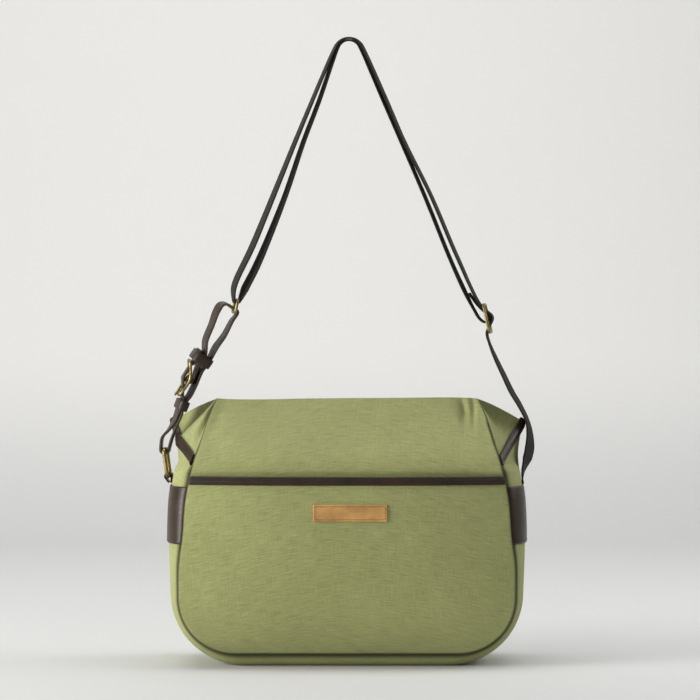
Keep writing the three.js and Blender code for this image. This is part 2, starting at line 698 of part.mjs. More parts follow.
function addBelt() {
  const halfBuckle = buckleLength / 2;
  const onBar = buckleWire / 2 + gap + beltPly / 2;
  const upperStack = 3 * beltPly + 2 * gap + keeperSlack.upper;
  const upperPly = upperStack / 2 - 1.25 * gap - beltPly / 2;
  const lowerPly = nextPly / 2;
  const lowBar = sideRing.length / 2;
  const highBar = -strapRing.length / 2;
  const onLowBar = sideRing.wire / 2 + gap + beltPly / 2;
  const onHighBar = strapRing.wire / 2 + gap + beltPly / 2;
  const overFold = onBar + nextPly;
  const stations = [
    ...round(buckle, 0, 0, onBar, -15, -180),
    upperKeeper.station(-keeperHeight * 0.3, 0),
    upperKeeper.station(keeperHeight * 0.5, 0),
    ...freePly(OUTER_PLY_TOP),
    ...round(high, highBar, 0, onHighBar, 60, -165 + 360).slice(1),
    ...freePly(INNER_PLY_TOP),
    upperKeeper.station(keeperHeight / 2, -upperPly),
    upperKeeper.station(-keeperHeight / 2, -upperPly),
    ...freePly(INNER_PLY_MIDDLE),
    lowerKeeper.station(keeperHeight / 2, -lowerPly),
    lowerKeeper.station(-keeperHeight / 2, -lowerPly),
    ...freePly(INNER_PLY_FOOT),
    ...round(low, lowBar, 0, onLowBar, -170, -10),
    ...freePly(OUTER_PLY_FOOT),
    lowerKeeper.station(-keeperHeight / 2, lowerPly),
    lowerKeeper.station(keeperHeight / 2, lowerPly),
    buckle.station(-halfBuckle, buckleBow - onBar - gap),
    ...round(buckle, 0, 0, overFold, -25, 25),
    buckle.station(halfBuckle, buckleBow - onBar - gap),
    upperKeeper.station(-keeperHeight * 0.5, upperPly - 3.5 * gap),
    upperKeeper.station(keeperHeight * 0.7, upperPly),
  ];
  const strip = sweep(stations, oblong(beltWidth, beltPly), beltStep);

  // The prong hooks round the buckle's middle bar and lies on its lower bar, through a slot and a hole.
  const hook = buckleWire / 2 + gap + prongWire / 2;
  const prongRise = Math.atan2(buckleBow, halfBuckle);
  const prongPath = [
    ...round(buckle, 0, 0, hook, prongHook, degrees(prongRise)),
    buckle.station(-halfBuckle - prongEnd, buckleBow + hook + prongEnd * Math.tan(prongRise)),
  ];
  const prong = sweep(prongPath, circle(prongWire / 2), beltLength);
  const hole = sweep(prongPath, circle(prongWire / 2 + gap), beltLength);
  const slotRadius = overFold - (beltPly + gap) / 2;
  const slot = new THREE.CylinderGeometry(slotRadius, slotRadius, prongSlot, 20);
  const upright = new THREE.Matrix4().makeBasis(buckle.along, buckle.across, buckle.out);
  slot.deleteAttribute("uv");
  slot.applyMatrix4(upright.setPosition(buckle.centre));
  const cut = toManifold(strip).subtract(toManifold(hole).add(toManifold(slot)));
  add("belt", "trim", toGeometry(cut));
  add("buckle_prong", "brass", prong);

  const buckleSize = { width: buckleWidth, length: buckleLength, wire: buckleWire, corner: buckleCorner };
  add("belt_buckle", "brass", barredRing(buckle, { ...buckleSize, bow: buckleBow }));
  add("upper_keeper", "trim", keeperOf(upperKeeper, upperStack));
  add("lower_keeper", "trim", keeperOf(lowerKeeper, 2 * beltPly + 3 * gap + keeperSlack.lower));
  for (const [name, frame, size] of [["side_ring", low, sideRing], ["strap_ring", high, strapRing]]) {
    add(name, "brass", ringOf(frame, size));
  }
}

// The leather loop that holds the side ring: both its legs stand on the left patch's top edge.
function addRingTab() {
  const onTab = sideRing.wire / 2 + gap + tabPly / 2;
  const foot = patchTop + tabPly;
  const wall = gussetHalf(foot, -1) + 2 * gap + tabPly / 2;
  const inner = frameAt(-wall, foot, 0, 0, -1);
  const outer = frameAt(-wall - tabPly - gap, foot, 0, 0, -1);
  const stations = [
    inner.station(0, 0),
    ...round(low, -sideRing.length / 2, 0, onTab, 180 + 30, -30),
    outer.station(0, 0),
  ];
  add("ring_tab", "trim", sweep(stations, oblong(tabWidth, tabPly), beltStep));
}

function addStrap() {
  const apex = point(hangShift, 0, hangHeight - hangRadius);
  const ringBar = high.at(strapRing.length / 2, 0);
  const halfSlider = sliderLength / 2;
  const nextWeb = webbing + gap;
  const slider = frameAt(sliderPlace.x, sliderPlace.z, sliderPlace.lean, sliderPlace.turn, 1);
  const onBar = sliderWire / 2 + gap + webbing / 2;
  const onRing = strapRing.wire / 2 + gap + webbing / 2;
  const topOfSlider = slider.at(halfSlider, 0);

  // A ply over the top, as an arc between the directions of the two legs
  const overTop = (radius, from, to) =>
    steps(8, radians(from), radians(to)).map((angle) => {
      const outward = point(Math.sin(angle), 0, Math.cos(angle));
      const turn = radians(legTurn);
      const w = point(0, Math.cos(turn), 0).addScaledVector(outward, Math.sin(turn));
      return { p: apex.clone().addScaledVector(outward, radius), w };
    });
  const innerRadius = hangRadius + webbing / 2;
  const outerRadius = innerRadius + nextWeb;
  const leaves = slider.at(-halfSlider, -onBar);
  const foot = patchTop + gap;
  const anchor = point(gussetHalf(foot, 1) + gap + webbing / 2, 0, foot);
  const footRows = [...STRAP_FOOT, { down: 1, out: 0, turn: 0 }];
  const stations = [
    slider.station(halfSlider + sewnEnd, -onBar - 4 * nextWeb),
    slider.station(halfSlider, -onBar - nextWeb - gap),
    ...round(slider, 0, 0, onBar, 20, -110),
    slider.station(-onBar - gap, -onBar),
    slider.station(gap, -onBar - 2 * nextWeb + gap),
    slider.station(halfSlider, -onBar - 4 * nextWeb + gap),
    ...stretch(apex, topOfSlider, 1, RIGHT_INNER, plySpread),
    ...overTop(innerRadius, legAngle, -legAngle),
    ...stretch(apex, ringBar, -1, LEFT_INNER, plySpread),
    ...round(high, strapRing.length / 2, 0, onRing, -180, 0),
    ...stretch(apex, ringBar, -1, LEFT_OUTER, plySpread),
    ...overTop(outerRadius, -legAngle, legAngle),
    ...stretch(apex, topOfSlider, 1, RIGHT_OUTER, plySpread),
    slider.station(halfSlider, -onBar - gap),
    ...round(slider, 0, 0, onBar + nextWeb, 30, -30),
    slider.station(-halfSlider, -onBar - gap),
    ...stretch(leaves, anchor, 1, footRows, strapKick),
  ];
  add("strap", "webbing", sweep(stations, oblong(webbingWidth, webbing), webbingStep));

  const size = { width: sliderWidth, length: sliderLength, wire: sliderWire, corner: sliderWire };
  add("slider", "brass", barredRing(slider, size));
}

addBody();
addPocket();
addTrims();
addBelt();
addRingTab();
addStrap();
bag.position.set(-hangShift, 0, -hangHeight);

export default everything;
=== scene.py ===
"""Looks of the canvas shoulder bag: cloth, leather, webbing, brass and stitches over its CAD frame.

Shapes are worked out in millimetres with the bag standing on z = 0 and its middle at x = 0. SHIFT then takes
them to the part's own frame, whose origin is the underside of the strap's top.
"""

import math

import bpy
import numpy as np
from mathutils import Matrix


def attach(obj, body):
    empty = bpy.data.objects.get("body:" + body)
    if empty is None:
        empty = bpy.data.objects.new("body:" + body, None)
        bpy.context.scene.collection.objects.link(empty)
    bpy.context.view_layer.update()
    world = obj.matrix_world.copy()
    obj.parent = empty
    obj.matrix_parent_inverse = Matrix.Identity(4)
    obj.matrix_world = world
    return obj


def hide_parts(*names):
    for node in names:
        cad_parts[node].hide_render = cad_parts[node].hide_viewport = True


SHIFT = np.array([-2.0, 0.0, -620.0])
STEP = 1

# Body
CANVAS, LEATHER, GAP = 1.6, 1.4, 0.5
BAG_HEIGHT, BAG_WIDTH, BAG_DEPTH = 262.5, 354, 124
RIDGE_LENGTH, MOUTH_WIDTH = 260, 18
SEAM_FOOT, SEAM_CORNER, GUSSET_CORNER = 13, 56, 72
BOTTOM_FLAT, SIDE_FLAT = 0.6, 0.15
HIP_HEIGHT = 202
EARS = {-1: {"reach": 177, "height": 239, "fold": 1, "tuck": 5, "puff": 3, "puff_at": 0.6, "arch": 0},
        1: {"reach": 176, "height": 238, "fold": 4, "tuck": 0, "puff": 3.2, "puff_at": 0.84, "arch": 1.7}}
EAR_FLARE, EAR_FOOT, EAR_SOFT = 1.7, 190, 0.16
TUCK_AT, TUCK_WIDE, PUFF_WIDE = 0.88, 0.1, 0.14
GROOVE_FADES = (236, 246)
PANEL_CROWN, RIDGE_WAVE, RIDGE_TILT = 9, 0.5, 1.6
FOLD_AT, FOLD_WIDE, FOLD_TILT = 0.35, 0.2, 53
POCKET_TOP, POCKET_STAND, TRIM_HEIGHT = 186, 8, 7
LABEL_WIDTH, LABEL_HEIGHT, LABEL_FOOT, LABEL_SHIFT = 72, 16.5, 144.5, 3
PATCH_FOOT, PATCH_TOP = 121, 177
END_TRIM_WIDTH = 10

# Strap
HANG_HEIGHT, HANG_SHIFT, HANG_RADIUS = 620, 2, 11.4
WEBBING_WIDTH, WEBBING, PLY_SPREAD = 25, 1.8, 15
STRAP_KICK, SEWN_END, LEG_ANGLE, LEG_TURN = 19, 14.5, 64, 8
SLIDER = {"x": 140.3, "z": 342.7, "lean": -12.9, "turn": 7,
          "width": 31, "length": 28, "wire": 3, "corner": 3}

# Belt
BELT_WIDTH, BELT_PLY = 18, 2.6
SIDE_RING = {"x": -180, "z": 198.5, "lean": -8, "turn": -2,
             "width": 26, "length": 27, "wire": 4, "corner": 4.5}
STRAP_RING = {"x": -111.7, "z": 354.8, "lean": 12, "turn": 8,
              "width": 29.5, "length": 12.6, "wire": 3, "corner": 3}
BUCKLE_SIZE = {"width": 23.5, "length": 36, "wire": 3, "corner": 4, "bow": 5.5}
PRONG_WIRE, PRONG_END, PRONG_HOOK = 2.2, 1.6, 240
KEEPER_HEIGHT, UPPER_SLACK, LOWER_SLACK = 10, 8.6, 1
TAB_WIDTH, TAB_PLY = 15, 1.6

# Side outline: up, spread, band, depth, crown
OUTLINE = np.array([
    (0.05, 0.739, 0.983, 0.81, 0), (0.15, 0.745, 0.985, 0.925, 0.55), (0.264, 0.745, 0.989, 0.965, 0.9),
    (0.383, 0.735, 0.996, 1, 1), (0.487, 0.66, 1, 1, 1), (0.613, 0.609, 0.994, 0.962, 0.9),
    (0.686, 0.539, 0.981, 0.925, 0.8), (0.774, 0.424, 0.966, 0.83, 0.65), (0.835, 0.315, 0.964, 0.65, 0.5),
    (0.895, 0.222, 0.964, 0.415, 0.35), (0.95, 0.115, 0.964, 0.208, 0.2), (1, 0, 0.964, 0, 0)])
# The top of the left side from seam to seam: t, up, out. The belt holds the ear back from the middle.
LEFT_EAR = np.array([(-1, 0, 0), (-0.6, 0.3, 0.44), (-0.3, 0.5, 0.82),
                     (0.3, 0.5, 0.84), (0.6, 1, 1), (1, 0, 0)])
# Dents of the front: across, up, wide, tall, deep
DENTS = [(0.86, 0.945, 0.05, 0.05, 0.5), (0.97, 0.9, 0.04, 0.06, 0.4), (-0.95, 0.93, 0.06, 0.06, 0.45),
         (0.35, 0.84, 0.4, 0.03, 0.15)]

# Upright folds of the front under the ridge's right end, in millimetres: across, up, wide, tall, deep
FOLDS = [(115.5, 250, 2.8, 9, 3.4), (125.5, 250, 2.8, 14, 3.4)]

# Places along the belt: along, out, lean, turn
UPPER_KEEPER = (0.6387, 0.06, 10.9, 17)
LOWER_KEEPER = (0.345, 0.0561, -1.8, 17)
BUCKLE = (0.5006, 0.0768, -6.6, 8)
# Free stretches of the belt: along, out, turn
OUTER_PLY_TOP = [(0.745, 0.0805, 19), (0.8463, 0.0844, 19), (0.9277, 0.0894, 22), (0.9704, 0.0816, 24),
                 (0.9889, 0.0565, 20)]
INNER_PLY_TOP = [(0.9173, -0.0154, 12), (0.8184, -0.0075, 16), (0.7346, 0.0101, 19)]
INNER_PLY_MIDDLE = [(0.5765, 0.0348, 18), (0.4736, 0.0349, 18), (0.4117, 0.0391, 18)]
INNER_PLY_FOOT = [(0.2826, 0.0401, 13), (0.2122, 0.0366, 6), (0.1492, 0.0304, 0)]
OUTER_PLY_FOOT = [(0.1253, 0.083, 0), (0.18, 0.068, 6), (0.2407, 0.0595, 13), (0.2971, 0.0625, 17)]
# Free stretches of the strap: down, out, turn
LEFT_INNER = [(0.21, 0.48, 10), (0.37, 0.3, 11), (0.59, -0.09, 13), (0.85, -0.27, 18), (0.95, -0.19, 19)]
LEFT_OUTER = [(0.96, 0.52, 14), (0.785, 0.53, 15), (0.3, 0.86, 10)]
RIGHT_OUTER = [(0.208, 0.71, 8), (0.36, 0.45, 9), (0.576, 0.31, 9), (0.817, -0.09, 9)]
RIGHT_INNER = [(0.918, -0.71, 10), (0.805, -0.56, 9), (0.565, -0.07, 9), (0.202, 0.5, 8)]
STRAP_FOOT = [(0.068, -0.03, 6), (0.178, 0.12, 10), (0.289, 0.32, 12), (0.4, 0.52, 13), (0.5, 0.78, 12),
              (0.61, 0.99, 10), (0.7, 0.96, 17), (0.79, 0.78, 26), (0.85, 0.55, 27), (0.926, 0.18, 10),
              (1, 0, 0)]


def mix(a, b, t):
    return a + (b - a) * t


def ease(low, high, x):
    t = np.clip((x - low) / (high - low), 0, 1)
    return t * t * (3 - 2 * t)


def through(column):
    """A smooth function of height through one column of the outline."""
    up, value = OUTLINE[:, 0], OUTLINE[:, column]
    last = len(up) - 1
    before, after = np.maximum(np.arange(last + 1) - 1, 0), np.minimum(np.arange(last + 1) + 1, last)
    slope = (value[after] - value[before]) / (up[after] - up[before])

    def at(z):
        x = np.asarray(z, float) / BAG_HEIGHT
        i = np.clip(np.searchsorted(up, x) - 1, 0, last - 1)
        span = up[i + 1] - up[i]
        t = np.clip((x - up[i]) / span, 0, 1)
        rise = t * t * (3 - 2 * t)
        leave = slope[i] * span * t * (1 - t) ** 2
        arrive = slope[i + 1] * span * t * t * (1 - t)
        return mix(value[i], value[i + 1], rise) + leave - arrive

    return at


spread_at, band_at, depth_at, crown_at = (through(c) for c in (1, 2, 3, 4))


def bell(x, wide):
    return np.exp(-((x / wide) ** 2))


def arrays(*values):
    """The values as arrays of one shape."""
    return np.broadcast_arrays(*(np.asarray(v, float) for v in values))


def xyz(x, y, z):
    return np.stack(arrays(x, y, z), axis=-1)


def unit(vectors):
    return vectors / np.linalg.norm(vectors, axis=-1, keepdims=True)


def noise(x, y, seed):
    """Smooth noise from -1 to 1 over a plane, one bump per unit."""
    lattice = np.random.default_rng(seed).uniform(-1, 1, (64, 64))
    x, y = arrays(x, y)
    i, j = np.floor(x).astype(int), np.floor(y).astype(int)
    u, v = x - i, y - j
    u, v = u * u * (3 - 2 * u), v * v * (3 - 2 * v)
    pick = lambda a, b: lattice[a % 64, b % 64]
    return mix(mix(pick(i, j), pick(i + 1, j), u), mix(pick(i, j + 1), pick(i + 1, j + 1), u), v)


# Body surfaces
def seam_half(z):
    return mix(RIDGE_LENGTH / 2, BAG_WIDTH / 2, spread_at(z))


def seam_depth(z):
    return mix(MOUTH_WIDTH / 2, BAG_DEPTH / 2, depth_at(z))


CORNER_TOP = SEAM_FOOT + SEAM_CORNER


def pocket_inset(z):
    return (CANVAS + GAP) * (1 - ease(POCKET_TOP, POCKET_TOP + TRIM_HEIGHT, z))


def seam_stack(z, t):
    tilt = np.hypot(1, seam_depth(z + 0.5) - seam_depth(z - 0.5))
    return CANVAS * tilt + GAP + np.where(t < 0, pocket_inset(z), 0)


def gusset_half(z, side):
    lean = np.clip((z - HIP_HEIGHT) / (EARS[side]["height"] - HIP_HEIGHT), 0, 1)
    return mix(BAG_WIDTH / 2 * band_at(z), EARS[side]["reach"], lean**EAR_FLARE)


def panel_half(z):
    drop = np.maximum(CORNER_TOP - z, 0)
    reach = np.sqrt(np.maximum(SEAM_CORNER**2 - drop**2, 0)) - SEAM_CORNER
    return seam_half(np.maximum(z, CORNER_TOP)) + reach


def seam_distance(u, z):
    """Millimetres from the seam that runs down the sides and along the bottom."""
    x = np.abs(u) * panel_half(z)
    drop = np.maximum(CORNER_TOP - z, 0)
    inward = np.maximum(x - (seam_half(CORNER_TOP) - SEAM_CORNER), 0)
    return np.where(z < CORNER_TOP, SEAM_CORNER - np.hypot(inward, drop), panel_half(z) - x)


def groove(u, z):
    """How plain the seam's groove is: it fades out near the top on the right."""
    return 1 - ease(*GROOVE_FADES, z) * (u > 0)


def seam_roll(u, z, radius=2.6):
    """How far the cloth turns back where it is sewn in."""
    near = np.clip(1 - seam_distance(u, z) / radius, 0, 1) * groove(u, z)
    return radius * (1 - np.sqrt(1 - 0.96 * near**2))


def crown(u, z):
    return PANEL_CROWN * crown_at(z) * (1 - np.abs(u) ** 2.6)


def puckers(u, z, seed):
    """Small waves of the cloth where a seam gathers it, and broad slack over the middle."""
    x = u * panel_half(z)
    edge = (1 - np.abs(u)) * panel_half(z)
    gather = 0.55 * noise(z / 7, x / 60, seed) * np.exp(-(edge / 11) ** 1.3) * ease(0, 2.5, edge)
    slack = 0.9 * noise(x / 70, z / 46, seed + 1) + 0.35 * noise(x / 30 + z / 40, z / 22, seed + 2)
    return gather + slack * ease(0, 26, edge)


def panel(u, z, side):
    push = 0
    if side < 0:
        for across, up, wide, tall, deep in DENTS:
            push = push + deep * bell(u - across, wide) * bell(z / BAG_HEIGHT - up, tall)
        push = PANEL_CROWN * push * (1 - u**8) + pocket_inset(z)
        for across, up, wide, tall, deep in FOLDS:
            push = push + deep * bell(u * panel_half(z) - across, wide) * bell(z - up, tall) * (1 - u**40)
    ends = ease(SEAM_FOOT, SEAM_FOOT + 15, z) * ease(0, 14, BAG_HEIGHT - z)
    wave = puckers(u, z, 10 + side) * ends - seam_roll(u, z)
    ridge = RIDGE_WAVE * noise(u * 3, 0.5, 5) + RIDGE_TILT * u
    ridge = ridge * ease(BAG_HEIGHT - 40, BAG_HEIGHT, z) * (1 - u**8)
    return xyz(u * panel_half(z), side * (seam_depth(z) + crown(u, z) - push + wave), z + ridge)


def pocket(u, z):
    stand = POCKET_STAND * (1 - np.abs(u) ** 3) * ease(SEAM_FOOT, POCKET_TOP, z)
    ends = ease(SEAM_FOOT, SEAM_FOOT + 15, z) * ease(0, 20, POCKET_TOP - z)
    wave = puckers(u, z, 30) * ends - seam_roll(u, z)
    return xyz(u * panel_half(z), -(seam_depth(z) + crown(u, z) + stand + wave), z)


def bulge(t, flat):
    turn = np.clip((np.abs(t) - flat) / (1 - flat), 0, 1)
    return (1 - turn**2.4) ** 0.66


def ear_at(t, side):
    """How high and how far out the top of a side reaches, from seam to seam."""
    if side > 0:
        return 1 - np.abs(t) ** 0.8, 1 - np.abs(t)
    # The cloth turns softly from each stretch of the table to the next.
    soft = EAR_SOFT * np.clip((1 - np.abs(t)) / 0.3, 0, 1) * (1 - ease(0, 0.25, t))
    near = [t + share * soft for share in (-1, -0.5, 0, 0.5, 1)]
    read = lambda column: np.mean([np.interp(x, LEFT_EAR[:, 0], LEFT_EAR[:, column]) for x in near], axis=0)
    return read(1), read(2)


def gusset_top(t, side):
    return mix(HIP_HEIGHT, EARS[side]["height"], ear_at(t, side)[0])


def gusset_y(t, z):
    return t * (seam_depth(np.minimum(z, HIP_HEIGHT)) - seam_stack(z, t))


def side_wall(z, t, side):
    out = mix(bulge(t, SIDE_FLAT), ear_at(t, side)[1], ease(EAR_FOOT, HIP_HEIGHT, z))
    reach = mix(seam_half(np.minimum(z, HIP_HEIGHT)), gusset_half(z, side), out)
    return xyz(side * reach, gusset_y(t, z), z)


PATCH_START, PATCH_END, TRIM_START = 2.3, 2.6, 2.9
WAYS = [2, PATCH_START, PATCH_END, TRIM_START, 3]


def gusset(along, t):
    """A point of the gusset: along runs from -3, the left top, through 0, the bottom's middle, to 3."""
    along, t = arrays(along, t)
    out = np.empty(along.shape + (3,))
    for side in (-1, 1):
        mine = (along < 0) if side < 0 else (along >= 0)
        way, s = np.abs(along[mine]), t[mine]
        b = bulge(s, mix(BOTTOM_FLAT, SIDE_FLAT, np.clip(way - 1, 0, 1)))
        seam_flat = seam_half(CORNER_TOP) - SEAM_CORNER
        band_flat = gusset_half(GUSSET_CORNER, side) - GUSSET_CORNER
        bottom = xyz(side * way * mix(seam_flat, band_flat, b), gusset_y(s, SEAM_FOOT), mix(SEAM_FOOT, 0, b))
        angle = np.clip(way - 1, 0, 1) * math.pi / 2
        seam_x, band_x = seam_flat + SEAM_CORNER * np.sin(angle), band_flat + GUSSET_CORNER * np.sin(angle)
        seam_z, band_z = CORNER_TOP - SEAM_CORNER * np.cos(angle), GUSSET_CORNER * (1 - np.cos(angle))
        corner = xyz(side * mix(seam_x, band_x, b), gusset_y(s, seam_z), mix(seam_z, band_z, b))
        top = gusset_top(s, side)
        levels = [mix(CORNER_TOP, GUSSET_CORNER, b), PATCH_FOOT + 0 * s, PATCH_TOP + 0 * s,
                  top - END_TRIM_WIDTH / 2, top]
        z = levels[0]
        for k in range(4):
            share = (way - WAYS[k]) / (WAYS[k + 1] - WAYS[k])
            z = np.where(way > WAYS[k], mix(levels[k], levels[k + 1], share), z)
        wall = side_wall(z, s, side)
        pick = np.where((way <= 1)[:, None], bottom, np.where((way <= 2)[:, None], corner, wall))
        out[mine] = pick
    return out


def top_end(up, t, side):
    """A point of a top end: up runs from the upturned V, 0, to the ridge's end, 1."""
    up, t = arrays(up, t)
    edge = np.abs(t)
    foot = lambda a: side_wall(gusset_top(a, side) + CANVAS + GAP, a, side)
    mouth = lambda a: a * (MOUTH_WIDTH / 2 - seam_stack(BAG_HEIGHT, a))
    head = lambda a: xyz(side * RIDGE_LENGTH / 2, mouth(a), BAG_HEIGHT)
    u, e = up[..., None], edge[..., None]
    seam_z = mix(HIP_HEIGHT + GAP, BAG_HEIGHT, up)
    seam_y = np.sign(t) * (seam_depth(seam_z) - seam_stack(seam_z, t))
    seam = xyz(side * seam_half(seam_z), seam_y, seam_z)
    blended = mix(foot(t), head(t), u)
    blended = blended + (seam - mix(foot(np.sign(t)), head(np.sign(t)), u)) * e
    ear = EARS[side]
    dip = ear["fold"] * np.sin(math.pi * up) * bell(edge - FOLD_AT, FOLD_WIDE)
    tilt = math.radians(FOLD_TILT)
    blended = blended - xyz(side * dip * math.cos(tilt), 0, dip * math.sin(tilt))
    # The cloth of the end is drawn in beside each seam and puffs out next to it.
    tuck = ear["tuck"] * np.sin(math.pi * up**2) * bell(edge - TUCK_AT, TUCK_WIDE)
    puff = ear["puff"] * np.sin(math.pi * up**1.3) * bell(edge - ear["puff_at"], PUFF_WIDE)
    swell = (puff - tuck) * ease(1, 0.96, edge)
    arch = ear["arch"] * np.sin(math.pi * up**1.3) * (1 - edge) ** 2
    return blended + xyz(side * swell * 0.4, np.sign(t) * swell * 0.9, swell * 0.2 + arch)


# Meshes
def finish_mesh(name, points, faces, material, uv, angle=40, mark=None):
    """A mesh in the part's frame; points are in millimetres and uv in millimetres of cloth.

    mark goes with each point into the attribute of that name: painted shade in a seam's groove, or the raw
    edge of leather.
    """
    mesh = bpy.data.meshes.new(name)
    mesh.from_pydata(((points + SHIFT) / 1000).tolist(), [], faces)
    mesh.update()
    layer = mesh.uv_layers.new(name="cloth")
    corner = np.empty(len(mesh.loops), int)
    mesh.loops.foreach_get("vertex_index", corner)
    layer.data.foreach_set("uv", (uv[corner] / 1000).astype(np.float32).ravel())
    if mark is not None:
        marks = mesh.attributes.new("mark", "FLOAT", "POINT")
        marks.data.foreach_set("value", np.asarray(mark, np.float32).ravel())
    mesh.polygons.foreach_set("use_smooth", [True] * len(mesh.polygons))
    mesh.set_sharp_from_angle(angle=math.radians(angle))
    mesh.materials.append(material)
    piece = bpy.data.objects.new(name, mesh)
    bpy.context.scene.collection.objects.link(piece)
    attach(piece, "root")
    return piece


MIDDLE = np.array([0, 0, BAG_HEIGHT / 2])


def grid_normals(grid):
    rows, columns = np.gradient(grid, axis=0), np.gradient(grid, axis=1)
    n = np.cross(rows, columns)
    n /= np.linalg.norm(n, axis=-1, keepdims=True) + 1e-12
    if np.sum(n * (grid - MIDDLE)) < 0:
        n = -n
    return n


def arc(grid, axis):
    """Length along a line, or along a grid's rows or columns, from their start."""
    d = np.linalg.norm(np.diff(grid, axis=axis), axis=-1)
    total = np.cumsum(d, axis=axis)
    zero = np.zeros_like(np.take(total, [0], axis=axis))
    return np.concatenate([zero, total], axis=axis)


def sheet(name, grid, low, high, material, angle=40, mark=None):
    """A closed sheet over a grid of points, between two heights above it; high may vary over the grid."""
    rows, columns = grid.shape[:2]
    n = grid_normals(grid)
    lift = np.broadcast_to(np.asarray(high, float), (rows, columns))[..., None]
    outer, inner = grid + n * lift, grid + n * low
    points = np.concatenate([outer.reshape(-1, 3), inner.reshape(-1, 3)])
    uv = np.stack([arc(grid, 1), arc(grid, 0)], axis=-1)
    uv = uv - uv[rows // 2, columns // 2]
    uv = np.concatenate([uv.reshape(-1, 2)] * 2)
    at = np.arange(2 * rows * columns).reshape(2, rows, columns)
    quads = lambda a: np.stack([a[:-1, :-1], a[:-1, 1:], a[1:, 1:], a[1:, :-1]], axis=-1).reshape(-1, 4)
    skins = (at[0], at[1].T, at[:, :, 0], at[:, :, -1].T, at[:, 0].T, at[:, -1])
    faces = np.concatenate([quads(skin) for skin in skins])
    # The first face shows which way the grid winds.
    a, b, c = points[faces[0, :3]]
    if np.dot(np.cross(b - a, c - a), n[0, 0]) < 0:
        faces = faces[:, ::-1]
    if mark is not None:
        mark = np.tile(np.broadcast_to(mark, (rows, columns)).ravel(), 2)
    return finish_mesh(name, points, faces.tolist(), material, uv, angle, mark)


def tube_faces(count, size, closed=False, base=0):
    """Faces round a tube of count rings of size points; base is the number of its first point."""
    at = lambda i, k: base + i % count * size + k % size
    faces = [(at(i, k), at(i, k + 1), at(i + 1, k + 1), at(i + 1, k))
             for i in range(count if closed else count - 1) for k in range(size)]
    if not closed:
        faces.append(tuple(at(0, k) for k in range(size))[::-1])
        faces.append(tuple(at(count - 1, k) for k in range(size)))
    return faces


def loft(name, rings, material, closed=False, uv=None, angle=40, mark=None):
    """A skin over rings of points, capped at its ends unless it closes on itself."""
    rings = np.asarray(rings)
    count, size = rings.shape[:2]
    points = rings.reshape(-1, 3)
    if uv is None:
        along, around = arc(rings.mean(1), 0), arc(rings[count // 2], 0)
        uv = np.stack(arrays(along[:, None], around[None, :]), axis=-1)
    uv = uv.reshape(-1, 2)
    faces = tube_faces(count, size, closed)
    centre = rings.mean(1)
    run = centre[1] - centre[0]
    if np.dot(np.cross(rings[0][0] - centre[0], rings[0][1] - centre[0]), run) < 0:
        faces = [tuple(reversed(f)) for f in faces]
    if mark is not None:
        mark = np.tile(mark, count)
    return finish_mesh(name, points, faces, material, uv, angle, mark)


def join(name, pieces):
    """Makes one piece of several."""
    with bpy.context.temp_override(active_object=pieces[0], selected_editable_objects=pieces):
        bpy.ops.object.join()
    pieces[0].name = name
    return pieces[0]


def stitches(name, rows, material, pitch=3.1, length=2.1, radius=0.34, sink=0.12):
    """Thread stitches along lines: rows is a list of (points, normals)."""
    shape = np.array([(-0.5, 0.25), (-0.3, 0.85), (0, 1), (0.3, 0.85), (0.5, 0.25)])
    sides = 6
    turns = np.arange(sides) * 2 * math.pi / sides
    points, faces = [], []
    for line, normals in rows:
        along = arc(line, 0)
        count = max(int(along[-1] / pitch), 1)
        for s in (np.arange(count) + 0.5) * along[-1] / count:
            read = lambda at, rows: np.array([np.interp(at, along, rows[:, k]) for k in range(3)])
            centre, up = read(s, line), read(s, normals)
            run = read(s + length / 2, line) - read(s - length / 2, line)
            run /= np.linalg.norm(run) + 1e-9
            up = up - run * np.dot(up, run)
            up /= np.linalg.norm(up) + 1e-9
            side = np.cross(run, up)
            base = len(points)
            for where, size in shape:
                middle = centre + run * where * length + up * (radius * (size - 1) * 0.8 - sink)
                for a in turns:
                    points.append(middle + radius * size * (math.cos(a) * side * 1.15 + math.sin(a) * up))
            faces += tube_faces(len(shape), sides, base=base)
    points = np.array(points)
    return finish_mesh(name, points, faces, material, points[:, :2], 60)


def surface_line(grid, lift):
    """A line of points with its normals, from a three-row strip of a surface."""
    n = grid_normals(grid)
    return grid[1] + n[1] * lift, n[1]


# Straps
def frame_at(x, z, lean, turn, side):
    s, c = math.sin(math.radians(lean)), math.cos(math.radians(lean))
    st, ct = math.sin(math.radians(turn)), math.cos(math.radians(turn))
    outer = np.array([side * c, 0, -side * s])
    return {"centre": np.array([x, 0.0, z]), "along": np.array([s, 0, c]), "lean": lean,
            "across": np.array([0, ct, 0]) + outer * st, "out": outer * ct - np.array([0, st, 0])}


def frame_of(size, side):
    return frame_at(*(size[key] for key in ("x", "z", "lean", "turn")), side)


def beside(size, ply):
    """How far the middle of a ply is from the middle of the wire it runs round."""
    return size["wire"] / 2 + GAP + ply / 2


def station(frame, a, o):
    return frame["centre"] + frame["along"] * a + frame["out"] * o, frame["across"]


def bend(frame, a, o, radius, start, end):
    """Stations round a bar across a frame; angle 0 is outwards and 90 up the strap."""
    count = math.ceil(abs(end - start) / 24)
    angles = np.radians(np.linspace(start, end, count + 1))
    reach = radius / math.cos((angles[1] - angles[0]) / 2)
    return [station(frame, a + reach * math.sin(t), o + reach * math.cos(t)) for t in angles]


def stretch(start, end, side, rows, spread):
    span = end - start
    lean = math.degrees(math.atan2(-span[0], -span[2]))
    made = []
    for down, out, turn in rows:
        middle = start + span * down
        p = station(frame_at(middle[0], middle[2], lean, 0, side), 0, out * spread)[0]
        made.append((p, frame_at(p[0], p[2], lean, turn, side)["across"]))
    return made


